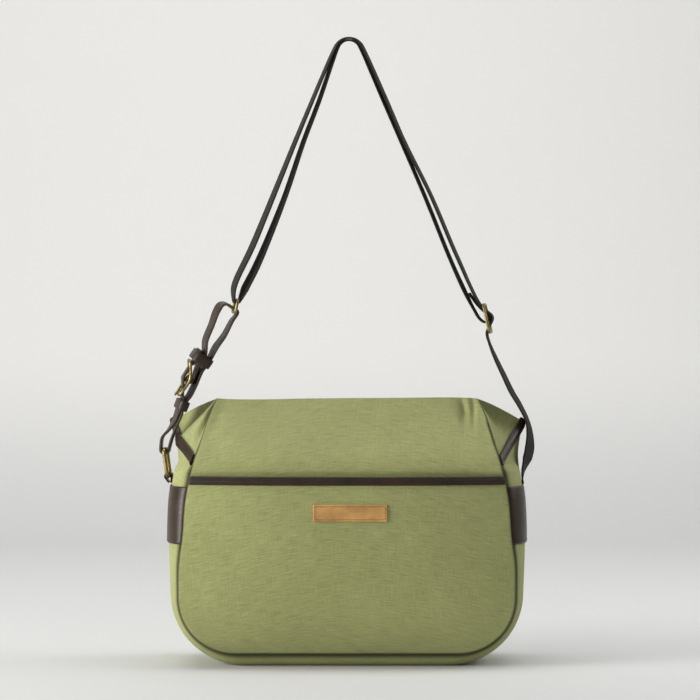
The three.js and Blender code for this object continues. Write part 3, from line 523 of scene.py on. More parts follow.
def curve_through(places, step):
    """Points along a centripetal Catmull-Rom curve, with the station number of each."""
    p = np.array(places)
    p = np.vstack([2 * p[0] - p[1], p, 2 * p[-1] - p[-2]])
    points, numbers = [], []
    for i in range(len(places) - 1):
        a, b, c, d = p[i], p[i + 1], p[i + 2], p[i + 3]
        d0, d1, d2 = (max(np.linalg.norm(v) ** 0.5, 1e-4) for v in (b - a, c - b, d - c))
        t1 = ((b - a) / d0 - (c - a) / (d0 + d1) + (c - b) / d1) * d1
        t2 = ((c - b) / d1 - (d - b) / (d1 + d2) + (d - c) / d2) * d1
        pieces = max(math.ceil(np.linalg.norm(c - b) / step), 1)
        for k in range(pieces):
            t = k / pieces
            points.append(b + t1 * t + (3 * (c - b) - 2 * t1 - t2) * t**2 + (2 * (b - c) + t1 + t2) * t**3)
            numbers.append(i + t)
    return np.array(points + [places[-1]]), np.array(numbers + [len(places) - 1.0])


def sweep(name, stations, section, step, material, angle=40, mark=None):
    """Sweeps a section along stations. Returns the piece, its centre line, widths and heights."""
    points, numbers = curve_through([s[0] for s in stations], step)
    widths = np.array([s[1] for s in stations])
    low = np.minimum(np.floor(numbers).astype(int), len(stations) - 1)
    high = np.minimum(low + 1, len(stations) - 1)
    width = mix(widths[low], widths[high], (numbers - low)[:, None])
    tangent = unit(np.gradient(points, axis=0))
    width = unit(width - tangent * np.sum(width * tangent, axis=1, keepdims=True))
    height = np.cross(tangent, width)
    rings = points[:, None] + width[:, None] * section[None, :, 0:1] + height[:, None] * section[None, :, 1:2]
    uv = np.stack(arrays(arc(points, 0)[:, None], section[None, :, 0]), axis=-1)
    piece = loft(name, rings, material, uv=uv, angle=angle, mark=mark)
    return piece, points, width, height


def circle(radius, sides=14):
    a = np.arange(sides) * 2 * math.pi / sides
    return radius * np.stack([np.cos(a), np.sin(a)], axis=-1)


def strip_section(width, height, edge, columns=8, groove=0, groove_at=0):
    """A flat strap's outline, with rounded edges and stitch grooves in both faces."""
    half, rise = width / 2, height / 2
    turns = np.radians(np.linspace(-90, 90, 7))
    right = [(half - edge + edge * math.cos(a), rise * math.sin(a)) for a in turns]
    xs = np.linspace(half - edge, -half + edge, columns + 1)[1:-1]
    if groove:
        near = [groove_at - 0.8, groove_at, groove_at + 0.8]
        xs = np.array(sorted([x for x in xs if min(abs(abs(x) - g) for g in near) > 0.5]
                             + near + [-g for g in near], reverse=True))
    dip = lambda x: groove * bell(abs(x) - groove_at, 0.45)
    top = [(x, rise - dip(x)) for x in xs]
    upper = np.array(right + top)
    return np.r_[upper, -upper]


def round_loop(width, length, corner, turns=7):
    loop = []
    for quarter in range(4):
        for turn in np.linspace(0, 1, turns):
            a = (quarter + turn) * math.pi / 2
            c, s = math.cos(a), math.sin(a)
            sx, sy = (1 if quarter in (0, 3) else -1), (1 if quarter < 2 else -1)
            x, y = sx * (width / 2 - corner), sy * (length / 2 - corner)
            loop.append((x + corner * c, y + corner * s, c, s))
    return loop


def hoop(name, centre, axes, loop, section, material, lift=lambda y: 0, angle=40):
    place = lambda x, y, z: centre + axes[0] * x + axes[1] * y + axes[2] * z
    rings = [[place(x + c * q, y + s * q, r + lift(y)) for q, r in section] for x, y, c, s in loop]
    return loft(name, rings, material, closed=True, angle=angle)


def ring(name, frame, size, material, barred):
    """A wire ring in a frame, with its ends standing out by the bow and a bar across it if barred."""
    bow = size.get("bow", 0)
    lift = lambda y: bow * abs(2 * y / size["length"]) ** 1.5
    loop = round_loop(size["width"], size["length"], size["corner"])
    fine = []
    for here, ahead in zip(loop, loop[1:] + loop[:1]):
        pieces = max(math.ceil(abs(ahead[1] - here[1]) / 2), 1) if bow else 1
        fine += [tuple(mix(h, a, k / pieces) for h, a in zip(here, ahead)) for k in range(pieces)]
    axes = (frame["across"], frame["along"], frame["out"])
    made = [hoop(name, frame["centre"], axes, fine, circle(size["wire"] / 2), material, lift)]
    if barred:
        ends = [frame["centre"] + frame["across"] * size["width"] * share for share in (-0.5, 0.5)]
        wire = np.array([frame["along"] * q + frame["out"] * r for q, r in circle(size["wire"] / 2)])
        made.append(loft(name + "_bar", [end + wire for end in ends], material))
    return join(name, made) if len(made) > 1 else made[0]


# Materials
# Colour of the painted shade in the seams' grooves, where the cloth turns in.
SEAM_PAINTED_SHADE = (0.035, 0.036, 0.008)


class Nodes:
    """Shader nodes of one material, with short calls to add them."""

    def __init__(self, name):
        self.material = bpy.data.materials.new(name)
        self.material.use_nodes = True
        self.tree = self.material.node_tree
        self.shader = self.tree.nodes["Principled BSDF"]
        self.uv = self.add("ShaderNodeUVMap").outputs[0]
        self.uv.node.uv_map = "cloth"

    def add(self, kind, inputs=(), **settings):
        node = self.tree.nodes.new(kind)
        for key, value in settings.items():
            setattr(node, key, value)
        for key, value in dict(inputs).items():
            self.put(node.inputs[key], value)
        return node

    def put(self, socket, value):
        if isinstance(value, bpy.types.NodeSocket):
            self.tree.links.new(value, socket)
        else:
            socket.default_value = value

    def math(self, operation, a, b=0.0, clamp=False):
        node = self.add("ShaderNodeMath", {0: a, 1: b}, operation=operation, use_clamp=clamp)
        return node.outputs[0]

    def sum(self, a, b):
        return self.math("ADD", a, b)

    def times(self, a, b):
        return self.math("MULTIPLY", a, b)

    def remap(self, value, low, high, start, end, **settings):
        inputs = {0: value, 1: low, 2: high, 3: start, 4: end}
        return self.add("ShaderNodeMapRange", inputs, **settings).outputs[0]

    def mark(self):
        return self.add("ShaderNodeAttribute", attribute_name="mark").outputs["Fac"]

    def scaled(self, x, y):
        """The cloth's own coordinates, in units of x and y millimetres."""
        node = self.add("ShaderNodeMapping", {0: self.uv, 3: (1000 / x, 1000 / y, 1)})
        return node.outputs[0]

    def noise(self, vector, detail=3.0, rough=0.55):
        inputs = {"Vector": vector, "Scale": 1.0, "Detail": detail, "Roughness": rough}
        return self.add("ShaderNodeTexNoise", inputs).outputs[0]

    def ramp(self, factor, stops):
        node = self.add("ShaderNodeValToRGB", {0: factor})
        ramp = node.color_ramp
        while len(ramp.elements) < len(stops):
            ramp.elements.new(0.5)
        for element, (place, color) in zip(ramp.elements, stops):
            element.position, element.color = place, (*color, 1)
        return node.outputs[0]

    def blend(self, kind, factor, a, b):
        node = self.add("ShaderNodeMix", data_type="RGBA", blend_type=kind)
        for index, value in ((0, factor), (6, a), (7, b)):
            value = (*value, 1) if isinstance(value, tuple) and len(value) == 3 else value
            self.put(node.inputs[index], value)
        return node.outputs[2]

    def shaded(self, share, base, factor, stops):
        """The base times a ramp of greys over a factor."""
        return self.blend("MULTIPLY", share, base, self.ramp(factor, stops))

    def bump(self, height, distance, strength=1.0):
        inputs = {"Height": height, "Distance": distance, "Strength": strength}
        self.put(self.shader.inputs["Normal"], self.add("ShaderNodeBump", inputs).outputs[0])

    def set(self, **values):
        """Shader values by the names of their sockets, with _ for a space."""
        for name, value in values.items():
            self.put(self.shader.inputs[name.replace("_", " ")], value)


def split(n, vector, count=2):
    node = n.add("ShaderNodeSeparateXYZ", {0: vector})
    return tuple(node.outputs[:count])


def shades(color, low, high):
    return tuple(c * low for c in color), tuple(min(c * high, 1) for c in color)


def weave(n, pitch, wobble=0.25):
    """Height of a plain weave: warp and weft threads that go over each other in turn."""
    drift = n.noise(n.scaled(9, 9), 2.0)
    drift = n.times(n.math("SUBTRACT", drift, 0.5), wobble * 4)
    x, y = split(n, n.scaled(pitch, pitch))
    x, y = n.sum(x, drift), n.sum(y, drift)
    warp, weft = (n.math("ABSOLUTE", n.math("SINE", n.times(v, math.pi))) for v in (x, y))
    cell = n.sum(n.math("FLOOR", x), n.math("FLOOR", y))
    over = n.math("ABSOLUTE", n.math("MODULO", cell, 2.0))
    return n.sum(n.times(warp, over), n.times(weft, n.math("SUBTRACT", 1.0, over)))


def canvas_material(name, color):
    n = Nodes(name)
    threads = weave(n, 0.85)
    across = n.noise(n.scaled(16, 0.75), 2.0)
    upward = n.noise(n.scaled(0.8, 14), 2.0)
    cloud = n.noise(n.scaled(60, 60), 3.0)
    dark, light = shades(color, 0.8, 1.2)
    base = n.ramp(across, [(0.3, dark), (0.7, light)])
    base = n.shaded(0.6, base, upward, [(0.3, (0.82, 0.82, 0.82)), (0.7, (1.16, 1.16, 1.13))])
    base = n.shaded(0.5, base, cloud, [(0.3, (0.9, 0.9, 0.88)), (0.7, (1.06, 1.06, 1.05))])
    # Painted shade in the gaps between threads: the colour darkens where the weave is low.
    base = n.shaded(0.6, base, threads, [(0.0, (0.72, 0.72, 0.7)), (0.7, (1.08, 1.08, 1.08))])
    # Painted shade: the mark darkens the seam's groove towards the shade colour.
    base = n.blend("MIX", n.times(n.mark(), 0.93), base, SEAM_PAINTED_SHADE)
    n.set(Base_Color=base, Roughness=0.93, Specular_IOR_Level=0.2, Sheen_Weight=0.12, Sheen_Roughness=0.6)
    n.bump(n.sum(threads, n.times(across, 1.4)), 0.00025, 0.8)
    return n.material


def leather_material(name, color, rough=0.42, grain=0.9, spec=0.5, raw=(0.12, 0.075, 0.045)):
    """Grained leather; its raw edge, where it is marked, shows the paler core."""
    n = Nodes(name)
    cells = {"Vector": n.scaled(grain, grain * 0.8), "Scale": 1.0}
    pores = n.add("ShaderNodeTexVoronoi", cells, feature="F1").outputs[0]
    creases = n.noise(n.scaled(5, 2.2), 5.0, 0.65)
    cloud = n.noise(n.scaled(24, 24), 3.0)
    dark, light = shades(color, 0.72, 1.35)
    base = n.ramp(cloud, [(0.3, dark), (0.72, light)])
    base = n.shaded(0.5, base, creases, [(0.35, (0.75, 0.74, 0.72)), (0.7, (1.15, 1.14, 1.12))])
    base = n.blend("MIX", n.times(n.mark(), 0.8), base, raw)
    shine = n.remap(creases, 0.3, 0.7, rough - 0.07, rough + 0.12)
    n.set(Base_Color=base, Roughness=shine, Specular_IOR_Level=spec)
    n.bump(n.sum(n.times(pores, 0.6), creases), 0.00012, 0.6)
    return n.material


def webbing_material(name, color):
    """Twill webbing: slanted ribs that change side from band to band across the width."""
    n = Nodes(name)
    x, y = (n.times(v, 1000.0) for v in split(n, n.uv))
    zigzag = n.math("PINGPONG", y, 3.1)
    ribs = n.math("SINE", n.times(n.sum(x, n.times(zigzag, 0.8)), 2 * math.pi / 1.5))
    cords = n.math("ABSOLUTE", n.math("SINE", n.times(y, math.pi / 1.05)))
    height = n.sum(n.times(ribs, 0.5), cords)
    fuzz = n.noise(n.scaled(1.4, 0.8), 3.0)
    dark, light = shades(color, 0.55, 1.5)
    # Partly painted shade, darker in the grooves between the ribs, and partly random tone from the fuzz.
    base = n.ramp(n.sum(n.times(height, 0.4), n.times(fuzz, 0.5)), [(0.15, dark), (0.75, light)])
    n.set(Base_Color=base, Roughness=0.85, Specular_IOR_Level=0.3)
    n.bump(height, 0.0003, 0.7)
    return n.material


def brass_material(name, color):
    n = Nodes(name)
    tarnish = n.noise(n.scaled(5, 5), 4.0, 0.6)
    dark, light = shades(color, 0.35, 1)
    base = n.ramp(tarnish, [(0.32, dark), (0.55, light)])
    n.set(Base_Color=base, Metallic=1.0, Roughness=n.remap(tarnish, 0.3, 0.7, 0.5, 0.28))
    n.bump(n.noise(n.scaled(1.5, 1.5), 3.0), 0.00008, 0.5)
    return n.material


def plain_material(name, color, rough):
    n = Nodes(name)
    n.set(Base_Color=(*color, 1), Roughness=rough)
    return n.material


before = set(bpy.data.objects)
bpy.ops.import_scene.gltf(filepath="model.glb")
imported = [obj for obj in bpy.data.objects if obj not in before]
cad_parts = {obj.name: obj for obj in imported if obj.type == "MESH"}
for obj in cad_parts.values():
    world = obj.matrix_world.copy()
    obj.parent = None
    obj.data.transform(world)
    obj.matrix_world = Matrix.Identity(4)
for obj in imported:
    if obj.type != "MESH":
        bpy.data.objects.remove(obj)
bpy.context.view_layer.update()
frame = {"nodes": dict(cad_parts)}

canvas = canvas_material("olive canvas", (0.365, 0.38, 0.155))
dark_leather = leather_material("dark leather", (0.029, 0.0165, 0.009), rough=0.36, spec=0.36)
tan_leather = leather_material("tan leather", (0.52, 0.29, 0.095), rough=0.55, grain=1.1, spec=0.35,
                               raw=(0.2, 0.09, 0.025))
webbing = webbing_material("dark webbing", (0.017, 0.0135, 0.0105))
brass = brass_material("aged brass", (0.31, 0.25, 0.1))
dark_thread = plain_material("dark thread", (0.014, 0.009, 0.005), 0.6)
tan_thread = plain_material("tan thread", (0.085, 0.034, 0.009), 0.7)


def show(piece, slot, *nodes):
    if nodes:
        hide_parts(*nodes)


def margin(values, size, share):
    """Values with extra ones close to both ends, for a rolled edge."""
    low, high = values[0], values[-1]
    steps = np.array([0.12, 0.3, 0.55, 1.0]) * size * share
    middle = [v for v in values if low + size * share * 1.05 < v < high - size * share * 1.05]
    return np.array([low, *(low + steps), *middle, *(high - steps[::-1]), high])


def rolled(values, size):
    """Height shares that drop to an edge at both ends of an array of lengths in millimetres."""
    near = np.minimum(values - values.min(), values.max() - values)
    t = np.clip(near / size, 0, 1)
    return np.sqrt(np.maximum(1 - (1 - t) ** 2, 0))


# Cloth body
NEAR_SEAM = np.array([0.15, 0.4, 0.75, 1.2, 1.8, 2.6]) / 170
U = np.sin(np.linspace(-1, 1, 190 // STEP) * math.pi / 2) * 0.35 + np.linspace(-1, 1, 190 // STEP) * 0.65
U = np.unique(np.r_[U, NEAR_SEAM - 1, 1 - NEAR_SEAM])


def corner_rows(top, step):
    """Heights that are close together at the rounded lower corners."""
    low = CORNER_TOP - SEAM_CORNER * np.cos(np.linspace(0, math.pi / 2, 34 // STEP + 3))
    return np.r_[low, np.linspace(CORNER_TOP, top, max(int((top - CORNER_TOP) / step), 8))[1:]]


def show_panel(name, surface, rows, node):
    u, z = U[None, :], rows[:, None]
    # Painted shade along the seam's groove, fading where the groove fades.
    seam_shade = bell(np.maximum(seam_distance(u, z), 0), 1.3) * groove(u, z)
    piece = sheet(name, surface(u, z), -CANVAS, 0, canvas, mark=seam_shade)
    show(piece, "canvas", node)


Z_PANEL = corner_rows(BAG_HEIGHT, 2.2 * STEP)
show_panel("front_panel_cloth", lambda u, z: panel(u, z, -1), Z_PANEL, "front_panel")
show_panel("back_panel_cloth", lambda u, z: panel(u, z, 1), Z_PANEL, "back_panel")
Z_POCKET = corner_rows(POCKET_TOP, 2.2 * STEP)
show_panel("front_pocket_cloth", pocket, Z_POCKET, "front_pocket")

T_HALF = np.r_[0, 0.07, 0.13, 0.2, 0.3, 0.4, 0.5, 0.6, 0.66, 0.72, 0.77, 0.82, 0.86, 0.9, 0.93, 0.955,
               0.97, 0.98, 0.99, 0.996, 1]
T = np.r_[-T_HALF[:0:-1], T_HALF]
ALONG_HALF = np.r_[np.linspace(0, 1, 26), np.linspace(1, 2, 26)[1:], np.linspace(2, 2.95, 46)[1:]]
ALONG = np.r_[-ALONG_HALF[:0:-1], ALONG_HALF]
# Painted shade close to the seams, on both edges of the gusset and the top ends.
T_SEAM_SHADE = bell((1 - np.abs(T)) * BAG_DEPTH / 2, 2.2)[None, :]
cloth = gusset(ALONG[:, None], T[None, :])
show(sheet("gusset_cloth", cloth, -CANVAS, 0, canvas, mark=T_SEAM_SHADE), "canvas", "gusset")
for side, name in ((-1, "left"), (1, "right")):
    up = np.linspace(0, 1, 60)[:, None]
    cloth = top_end(up, T[None, :], side)
    # Painted shade near the seams, fading where the groove fades.
    seam_shade = T_SEAM_SHADE * groove(side, mix(HIP_HEIGHT, BAG_HEIGHT, up))
    cloth = sheet("top_end_cloth_" + name, cloth, -CANVAS, 0, canvas, mark=seam_shade)
    show(cloth, "canvas", "top_end_" + name)

# Leather binding of the pocket
u_trim = np.linspace(-0.99, 0.99, 240 // STEP)
low, high = pocket(u_trim, POCKET_TOP - TRIM_HEIGHT), pocket(u_trim, POCKET_TOP)
rise = unit(high - low)
out = np.cross(unit(np.gradient(high, axis=0)), rise)
face = GAP + LEATHER
TRIM_THREAD = 1.9 - TRIM_HEIGHT
rises = np.linspace(-TRIM_HEIGHT + 1.1, -0.5, 14)
swell = 0.75 * np.sin(math.pi * (rises + TRIM_HEIGHT) / TRIM_HEIGHT) ** 1.5
swell = swell - 0.35 * bell(rises - TRIM_THREAD, 0.45)
profile = np.array([
    (GAP, -TRIM_HEIGHT), (face - 0.7, -TRIM_HEIGHT), (face - 0.2, -TRIM_HEIGHT + 0.3),
    (face, -TRIM_HEIGHT + 0.8), *zip(face + swell, rises), (face + 0.1, 0.4), (face - 0.35, 1.2),
    (face - 1.1, 1.7), (-0.2, 1.85), (-CANVAS, face), (-CANVAS, GAP), (GAP, GAP)])
rings = high[:, None] + out[:, None] * profile[None, :, 0:1] + rise[:, None] * profile[None, :, 1:2]
show(loft("pocket_trim_leather", rings, dark_leather), "dark_leather", "pocket_trim")
thread_rows = [(high + out * (face - 0.1) + rise * TRIM_THREAD, out)]

# Label, patches and end trims
EDGE, EDGE_ROLL, THREAD_INSET = 0.5, 1.4, 2.0
ON_SEAM = 2.5 * GAP


def show_leather(node, grid, low, shares, material=dark_leather, slot="dark_leather", end=""):
    """A leather sheet over a surface, which thins to an edge where its shares drop to 0."""
    high = low + EDGE + (LEATHER - EDGE) * shares + 0 * grid[..., 0]
    show(sheet(node + "_leather" + end, grid, low, high, material, 60), slot, node + end)


x_label = margin(np.linspace(-LABEL_WIDTH / 2, LABEL_WIDTH / 2, 50), 1.2, 1) + LABEL_SHIFT
z_label = margin(np.linspace(LABEL_FOOT, LABEL_FOOT + LABEL_HEIGHT, 16), 1.2, 1)


def on_pocket(x, z):
    return pocket(x / panel_half(z), z)


shares = np.minimum(rolled(x_label, 1.2)[None, :], rolled(z_label, 1.2)[:, None])
grid = on_pocket(x_label[None, :], z_label[:, None])
show_leather("label", grid, GAP, shares, tan_leather, "tan_leather")
half, low, high = LABEL_WIDTH / 2 - THREAD_INSET, THREAD_INSET, LABEL_HEIGHT - THREAD_INSET
corners = [(-half, low), (half, low), (half, high), (-half, high)]
label_rows = []
for (x0, z0), (x1, z1) in zip(corners, corners[1:] + corners[:1]):
    t = np.linspace(0, 1, 30)
    x, z = mix(x0, x1, t) + LABEL_SHIFT, mix(z0, z1, t) + LABEL_FOOT
    across = 0.6 * np.array([[z0 - z1], [x1 - x0]]) / math.hypot(x1 - x0, z1 - z0)
    strip = np.stack([on_pocket(x + across[0] * k, z + across[1] * k) for k in (-1, 0, 1)])
    label_rows.append(surface_line(strip, GAP + LEATHER))
show(stitches("label_stitches", label_rows, tan_thread, pitch=2.4, length=1.5, radius=0.46), "tan_leather")

PATCH_HEIGHT = PATCH_TOP - PATCH_FOOT
PATCH_SPAN = PATCH_END - PATCH_START
patch_way = margin(np.linspace(PATCH_START, PATCH_END, 26), EDGE_ROLL, PATCH_SPAN / PATCH_HEIGHT)
for side, name in ((-1, "left"), (1, "right")):
    shares = rolled((patch_way - PATCH_START) / PATCH_SPAN * PATCH_HEIGHT, EDGE_ROLL)[:, None]
    grid = gusset(side * patch_way[:, None], T[None, :])
    show_leather("side_patch", grid, GAP, shares, end="_" + name)
    for way in (PATCH_START + 0.015, PATCH_END - 0.015):
        ways = side * np.array([way - 0.004, way, way + 0.004])
        strip = gusset(ways[:, None], np.linspace(-0.97, 0.97, 60)[None, :])
        thread_rows.append(surface_line(strip, GAP + LEATHER))

    share = END_TRIM_WIDTH / 2 / (BAG_HEIGHT - HIP_HEIGHT)
    t_trim = np.clip(T, -0.98, 0.98)
    lower = gusset(side * np.linspace(TRIM_START, 3, 7)[:, None], t_trim[None, :])
    upper = top_end(np.linspace(0, share, 7)[:, None], t_trim[None, :], side)
    middle = mix(lower[-1], upper[0], 0.5)[None]
    grid = np.concatenate([lower, middle, upper])
    shares = rolled(np.linspace(0, END_TRIM_WIDTH + 2, len(grid)), EDGE_ROLL)[:, None]
    show_leather("end_trim", grid, ON_SEAM, shares, end="_" + name)
    for row in (2, len(grid) - 3):
        thread_rows.append(surface_line(grid[row - 1:row + 2], ON_SEAM + LEATHER))

# Belt, with its rings, buckle and keepers
low_ring, high_ring = frame_of(SIDE_RING, -1), frame_of(STRAP_RING, -1)
span = high_ring["centre"] - low_ring["centre"]
belt_length = float(np.linalg.norm(span))
belt_lean = math.degrees(math.atan2(span[0], span[2]))


def on_belt(along, out, lean, turn):
    chord = frame_at(low_ring["centre"][0], low_ring["centre"][2], belt_lean, 0, -1)
    place = station(chord, along * belt_length, out * belt_length)[0]
    return frame_at(place[0], place[2], belt_lean + lean, turn, -1)


def free_ply(rows):
    return [station(on_belt(along, out, 0, turn), 0, 0) for along, out, turn in rows]


def in_keeper(keeper, out, *shares):
    return [station(keeper, KEEPER_HEIGHT * share, out) for share in shares]


upper_keeper, lower_keeper, buckle = on_belt(*UPPER_KEEPER), on_belt(*LOWER_KEEPER), on_belt(*BUCKLE)
next_ply = BELT_PLY + GAP
half_buckle = BUCKLE_SIZE["length"] / 2
on_bar = beside(BUCKLE_SIZE, BELT_PLY)
upper_stack = 3 * BELT_PLY + 2 * GAP + UPPER_SLACK
lower_stack = 2 * BELT_PLY + 3 * GAP + LOWER_SLACK
upper_ply = upper_stack / 2 - 1.25 * GAP - BELT_PLY / 2
lower_ply = next_ply / 2
on_low_bar, on_high_bar = beside(SIDE_RING, BELT_PLY), beside(STRAP_RING, BELT_PLY)
over_fold = on_bar + next_ply
bow = BUCKLE_SIZE["bow"]
belt_stations = [
    *bend(buckle, 0, 0, on_bar, -15, -180),
    *in_keeper(upper_keeper, 0, -0.3, 0.5),
    *free_ply(OUTER_PLY_TOP),
    *bend(high_ring, -STRAP_RING["length"] / 2, 0, on_high_bar, 60, 195)[1:],
    *free_ply(INNER_PLY_TOP),
    *in_keeper(upper_keeper, -upper_ply, 0.5, -0.5),
    *free_ply(INNER_PLY_MIDDLE),
    *in_keeper(lower_keeper, -lower_ply, 0.5, -0.5),
    *free_ply(INNER_PLY_FOOT),
    *bend(low_ring, SIDE_RING["length"] / 2, 0, on_low_bar, -170, -10),
    *free_ply(OUTER_PLY_FOOT),
    *in_keeper(lower_keeper, lower_ply, -0.5, 0.5),
    station(buckle, -half_buckle, bow - on_bar - GAP),
    *bend(buckle, 0, 0, over_fold, -25, 25),
    station(buckle, half_buckle, bow - on_bar - GAP),
    *in_keeper(upper_keeper, upper_ply - 3.5 * GAP, -0.5),
    *in_keeper(upper_keeper, upper_ply, 0.7),
]
BELT_THREAD = BELT_WIDTH / 2 - 2.3
section = strip_section(BELT_WIDTH, BELT_PLY, 0.9, 10, groove=0.25, groove_at=BELT_THREAD)
raw_edge = bell(section[:, 1], 0.35)
made = sweep("belt_leather", belt_stations, section, 1.4 * STEP, dark_leather, 50, raw_edge)
belt, line, width, height = made
show(belt, "dark_leather", "belt")
for edge in (-1, 1):
    for facing in (-1, 1):
        row = line + width * edge * BELT_THREAD + height * facing * (BELT_PLY / 2 - 0.05)
        thread_rows.append((row[4:-4], (height * facing)[4:-4]))


def keeper(node, frame, stack):
    axes = (frame["across"], frame["out"], frame["along"])
    loop = round_loop(BELT_WIDTH + 10 * GAP + LEATHER, stack + LEATHER, 4)
    half, thick = KEEPER_HEIGHT / 2, LEATHER / 2
    rows = np.linspace(0.6 - half, half - 0.6, 7)
    crowned = [(thick + 0.18 * math.cos(math.pi * y / KEEPER_HEIGHT), y) for y in rows[1:-1]]
    section = [(thick - 0.35, -half), (thick, rows[0]), *crowned,
               (thick, rows[-1]), (thick - 0.35, half), (-thick, half), (-thick, -half)]
    piece = hoop(node + "_leather", frame["centre"], axes, loop, section, dark_leather, angle=50)
    show(piece, "dark_leather", node)


def show_ring(node, place, size, barred=False):
    show(ring(node + "_brass", place, size, brass, barred), "brass", node)


keeper("upper_keeper", upper_keeper, upper_stack)
keeper("lower_keeper", lower_keeper, lower_stack)
show_ring("belt_buckle", buckle, BUCKLE_SIZE, barred=True)
show_ring("side_ring", low_ring, SIDE_RING)
show_ring("strap_ring", high_ring, STRAP_RING)
hook = beside(BUCKLE_SIZE, PRONG_WIRE)
rise_angle = math.atan2(bow, half_buckle)
prong_stations = bend(buckle, 0, 0, hook, PRONG_HOOK, math.degrees(rise_angle))
tip = bow + hook + PRONG_END * math.tan(rise_angle)
prong_stations.append(station(buckle, -half_buckle - PRONG_END, tip))
prong = sweep("buckle_prong_brass", prong_stations, circle(PRONG_WIRE / 2, 12), 1, brass)[0]
show(prong, "brass", "buckle_prong")

# Ring tab
on_tab = beside(SIDE_RING, TAB_PLY)
foot_z = PATCH_TOP + TAB_PLY
wall = float(gusset_half(np.array(float(foot_z)), -1)) + 2 * GAP + TAB_PLY / 2
tab_stations = [
    station(frame_at(-wall, foot_z, 0, 0, -1), 0, 0),
    *bend(low_ring, -SIDE_RING["length"] / 2, 0, on_tab, 210, -30),
    station(frame_at(-wall - TAB_PLY - GAP, foot_z, 0, 0, -1), 0, 0),
]
section = strip_section(TAB_WIDTH, TAB_PLY, 0.6, 8, groove=0.15, groove_at=TAB_WIDTH / 2 - 1.8)
show(sweep("ring_tab_leather", tab_stations, section, 1, dark_leather, 50)[0], "dark_leather", "ring_tab")

# Webbing strap and its slider
apex = np.array([HANG_SHIFT, 0.0, HANG_HEIGHT - HANG_RADIUS])
slider = frame_of(SLIDER, 1)
half_slider = SLIDER["length"] / 2
next_web = WEBBING + GAP
on_slider, on_ring = beside(SLIDER, WEBBING), beside(STRAP_RING, WEBBING)
ring_bar = station(high_ring, STRAP_RING["length"] / 2, 0)[0]
top_of_slider = station(slider, half_slider, 0)[0]


def over_top(radius, start, end):
    made = []
    for a in np.radians(np.linspace(start, end, 9)):
        outward = np.array([math.sin(a), 0, math.cos(a)])
        turn = math.radians(LEG_TURN)
        across = np.array([0, math.cos(turn), 0]) + outward * math.sin(turn)
        made.append((apex + outward * radius, across))
    return made


inner_radius = HANG_RADIUS + WEBBING / 2
outer_radius = inner_radius + next_web
foot_z = PATCH_TOP + GAP
anchor = np.array([float(gusset_half(np.array(float(foot_z)), 1)) + GAP + WEBBING / 2, 0, foot_z])
strap_stations = [
    station(slider, half_slider + SEWN_END, -on_slider - 4 * next_web),
    station(slider, half_slider, -on_slider - next_web - GAP),
    *bend(slider, 0, 0, on_slider, 20, -110),
    station(slider, -on_slider - GAP, -on_slider),
    station(slider, GAP, -on_slider - 2 * next_web + GAP),
    station(slider, half_slider, -on_slider - 4 * next_web + GAP),
    *stretch(apex, top_of_slider, 1, RIGHT_INNER, PLY_SPREAD),
    *over_top(inner_radius, LEG_ANGLE, -LEG_ANGLE),
    *stretch(apex, ring_bar, -1, LEFT_INNER, PLY_SPREAD),
    *bend(high_ring, STRAP_RING["length"] / 2, 0, on_ring, -180, 0),
    *stretch(apex, ring_bar, -1, LEFT_OUTER, PLY_SPREAD),
    *over_top(outer_radius, -LEG_ANGLE, LEG_ANGLE),
    *stretch(apex, top_of_slider, 1, RIGHT_OUTER, PLY_SPREAD),
    station(slider, half_slider, -on_slider - GAP),
    *bend(slider, 0, 0, on_slider + next_web, 30, -30),
    station(slider, -half_slider, -on_slider - GAP),
    *stretch(station(slider, -half_slider, -on_slider)[0], anchor, 1, STRAP_FOOT, STRAP_KICK),
]
section = strip_section(WEBBING_WIDTH, WEBBING, 0.9, 12)
strap = sweep("strap_webbing", strap_stations, section, 2 * STEP, webbing, 60)[0]
show(strap, "webbing", "strap")
show_ring("slider", slider, SLIDER, barred=True)
show(stitches("leather_stitches", thread_rows, dark_thread), "dark_leather")


# Light, floor and camera
def area_light(name, place, target, size, power, color=(1, 1, 1)):
    light = bpy.data.lights.new(name, "AREA")
    light.shape, light.size, light.size_y = "RECTANGLE", size[0], size[1]
    light.energy, light.color = power, color
    lamp = bpy.data.objects.new(name, light)
    bpy.context.scene.collection.objects.link(lamp)
    lamp.location = place
    direction = np.array(place) - np.array(target)
    flat = math.hypot(direction[0], direction[1])
    lamp.rotation_euler = (math.atan2(flat, direction[2]), 0, math.atan2(direction[0], -direction[1]))


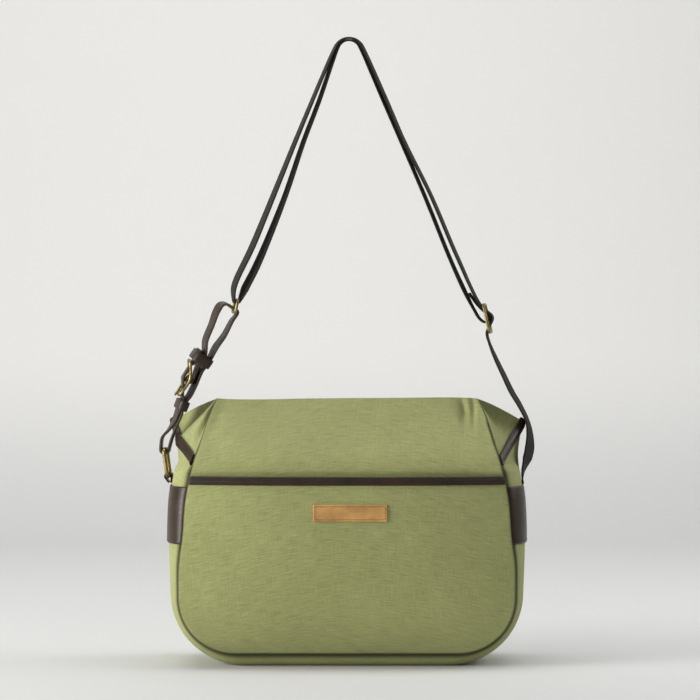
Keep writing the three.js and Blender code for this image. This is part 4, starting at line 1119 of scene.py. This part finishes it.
def backdrop():
    """A pale floor that turns up into a wall behind."""
    floor, pale, back, top, radius, half = -0.62, -0.3, 1.5, 4.0, 1.1, 6.0
    turn = np.radians(np.linspace(0, 90, 24))
    curve = [(back + radius * math.sin(a), floor + radius * (1 - math.cos(a))) for a in turn]
    profile = [(-half, floor), *curve, (back + radius, top)]
    points = np.array([(x, y, z) for x in (-half, half) for y, z in profile])
    count = len(profile)
    mesh = bpy.data.meshes.new("backdrop")
    mesh.from_pydata(points.tolist(), [], [(k, k + 1, count + k + 1, count + k) for k in range(count - 1)])
    mesh.polygons.foreach_set("use_smooth", [True] * len(mesh.polygons))
    n = Nodes("backdrop paper")
    height = split(n, n.add("ShaderNodeTexCoord").outputs["Object"], 3)[2]
    # Painted shade: the paper is darker low on the floor and grows lighter up to the wall.
    floor_shade = n.remap(height, floor, pale, 0.0, 1.0, interpolation_type="SMOOTHSTEP")
    n.set(Base_Color=n.blend("MIX", floor_shade, (0.64, 0.645, 0.635), (0.79, 0.785, 0.768)), Roughness=0.9)
    mesh.materials.append(n.material)
    wall = bpy.data.objects.new("backdrop", mesh)
    bpy.context.scene.collection.objects.link(wall)


backdrop()
area_light("key", (-1.9, -0.8, -0.05), (0, 0, -0.45), (1.1, 1.3), 52, (1.0, 0.985, 0.955))
area_light("front", (-1.0, -2.1, 0.0), (-0.1, 0, -0.45), (0.4, 0.9), 3)
area_light("sky", (-0.8, -0.2, 2.0), (0, 0, -0.6), (1.6, 1.6), 4)
area_light("side", (1.3, 0.1, 0.3), (0.17, 0, -0.45), (0.9, 0.9), 8)
area_light("wall", (0, 0.2, 2.4), (0, 2.4, 0.3), (3.0, 1.5), 62)
world = bpy.data.worlds.new("studio")
world.use_nodes = True
sky = world.node_tree.nodes["Background"].inputs
sky["Color"].default_value, sky["Strength"].default_value = (0.97, 0.98, 1.0, 1), 0.16
bpy.context.scene.world = world
bpy.context.scene.view_settings.view_transform = "Standard"

lens = bpy.data.cameras.new("camera")
lens.sensor_width, lens.lens = 36, 36 * 2.5 / 0.7
camera = bpy.data.objects.new("camera", lens)
camera.location, camera.rotation_euler = (0.001, -2.5, -0.309), (math.radians(90), 0, 0)
bpy.context.scene.collection.objects.link(camera)
bpy.context.scene.camera = camera
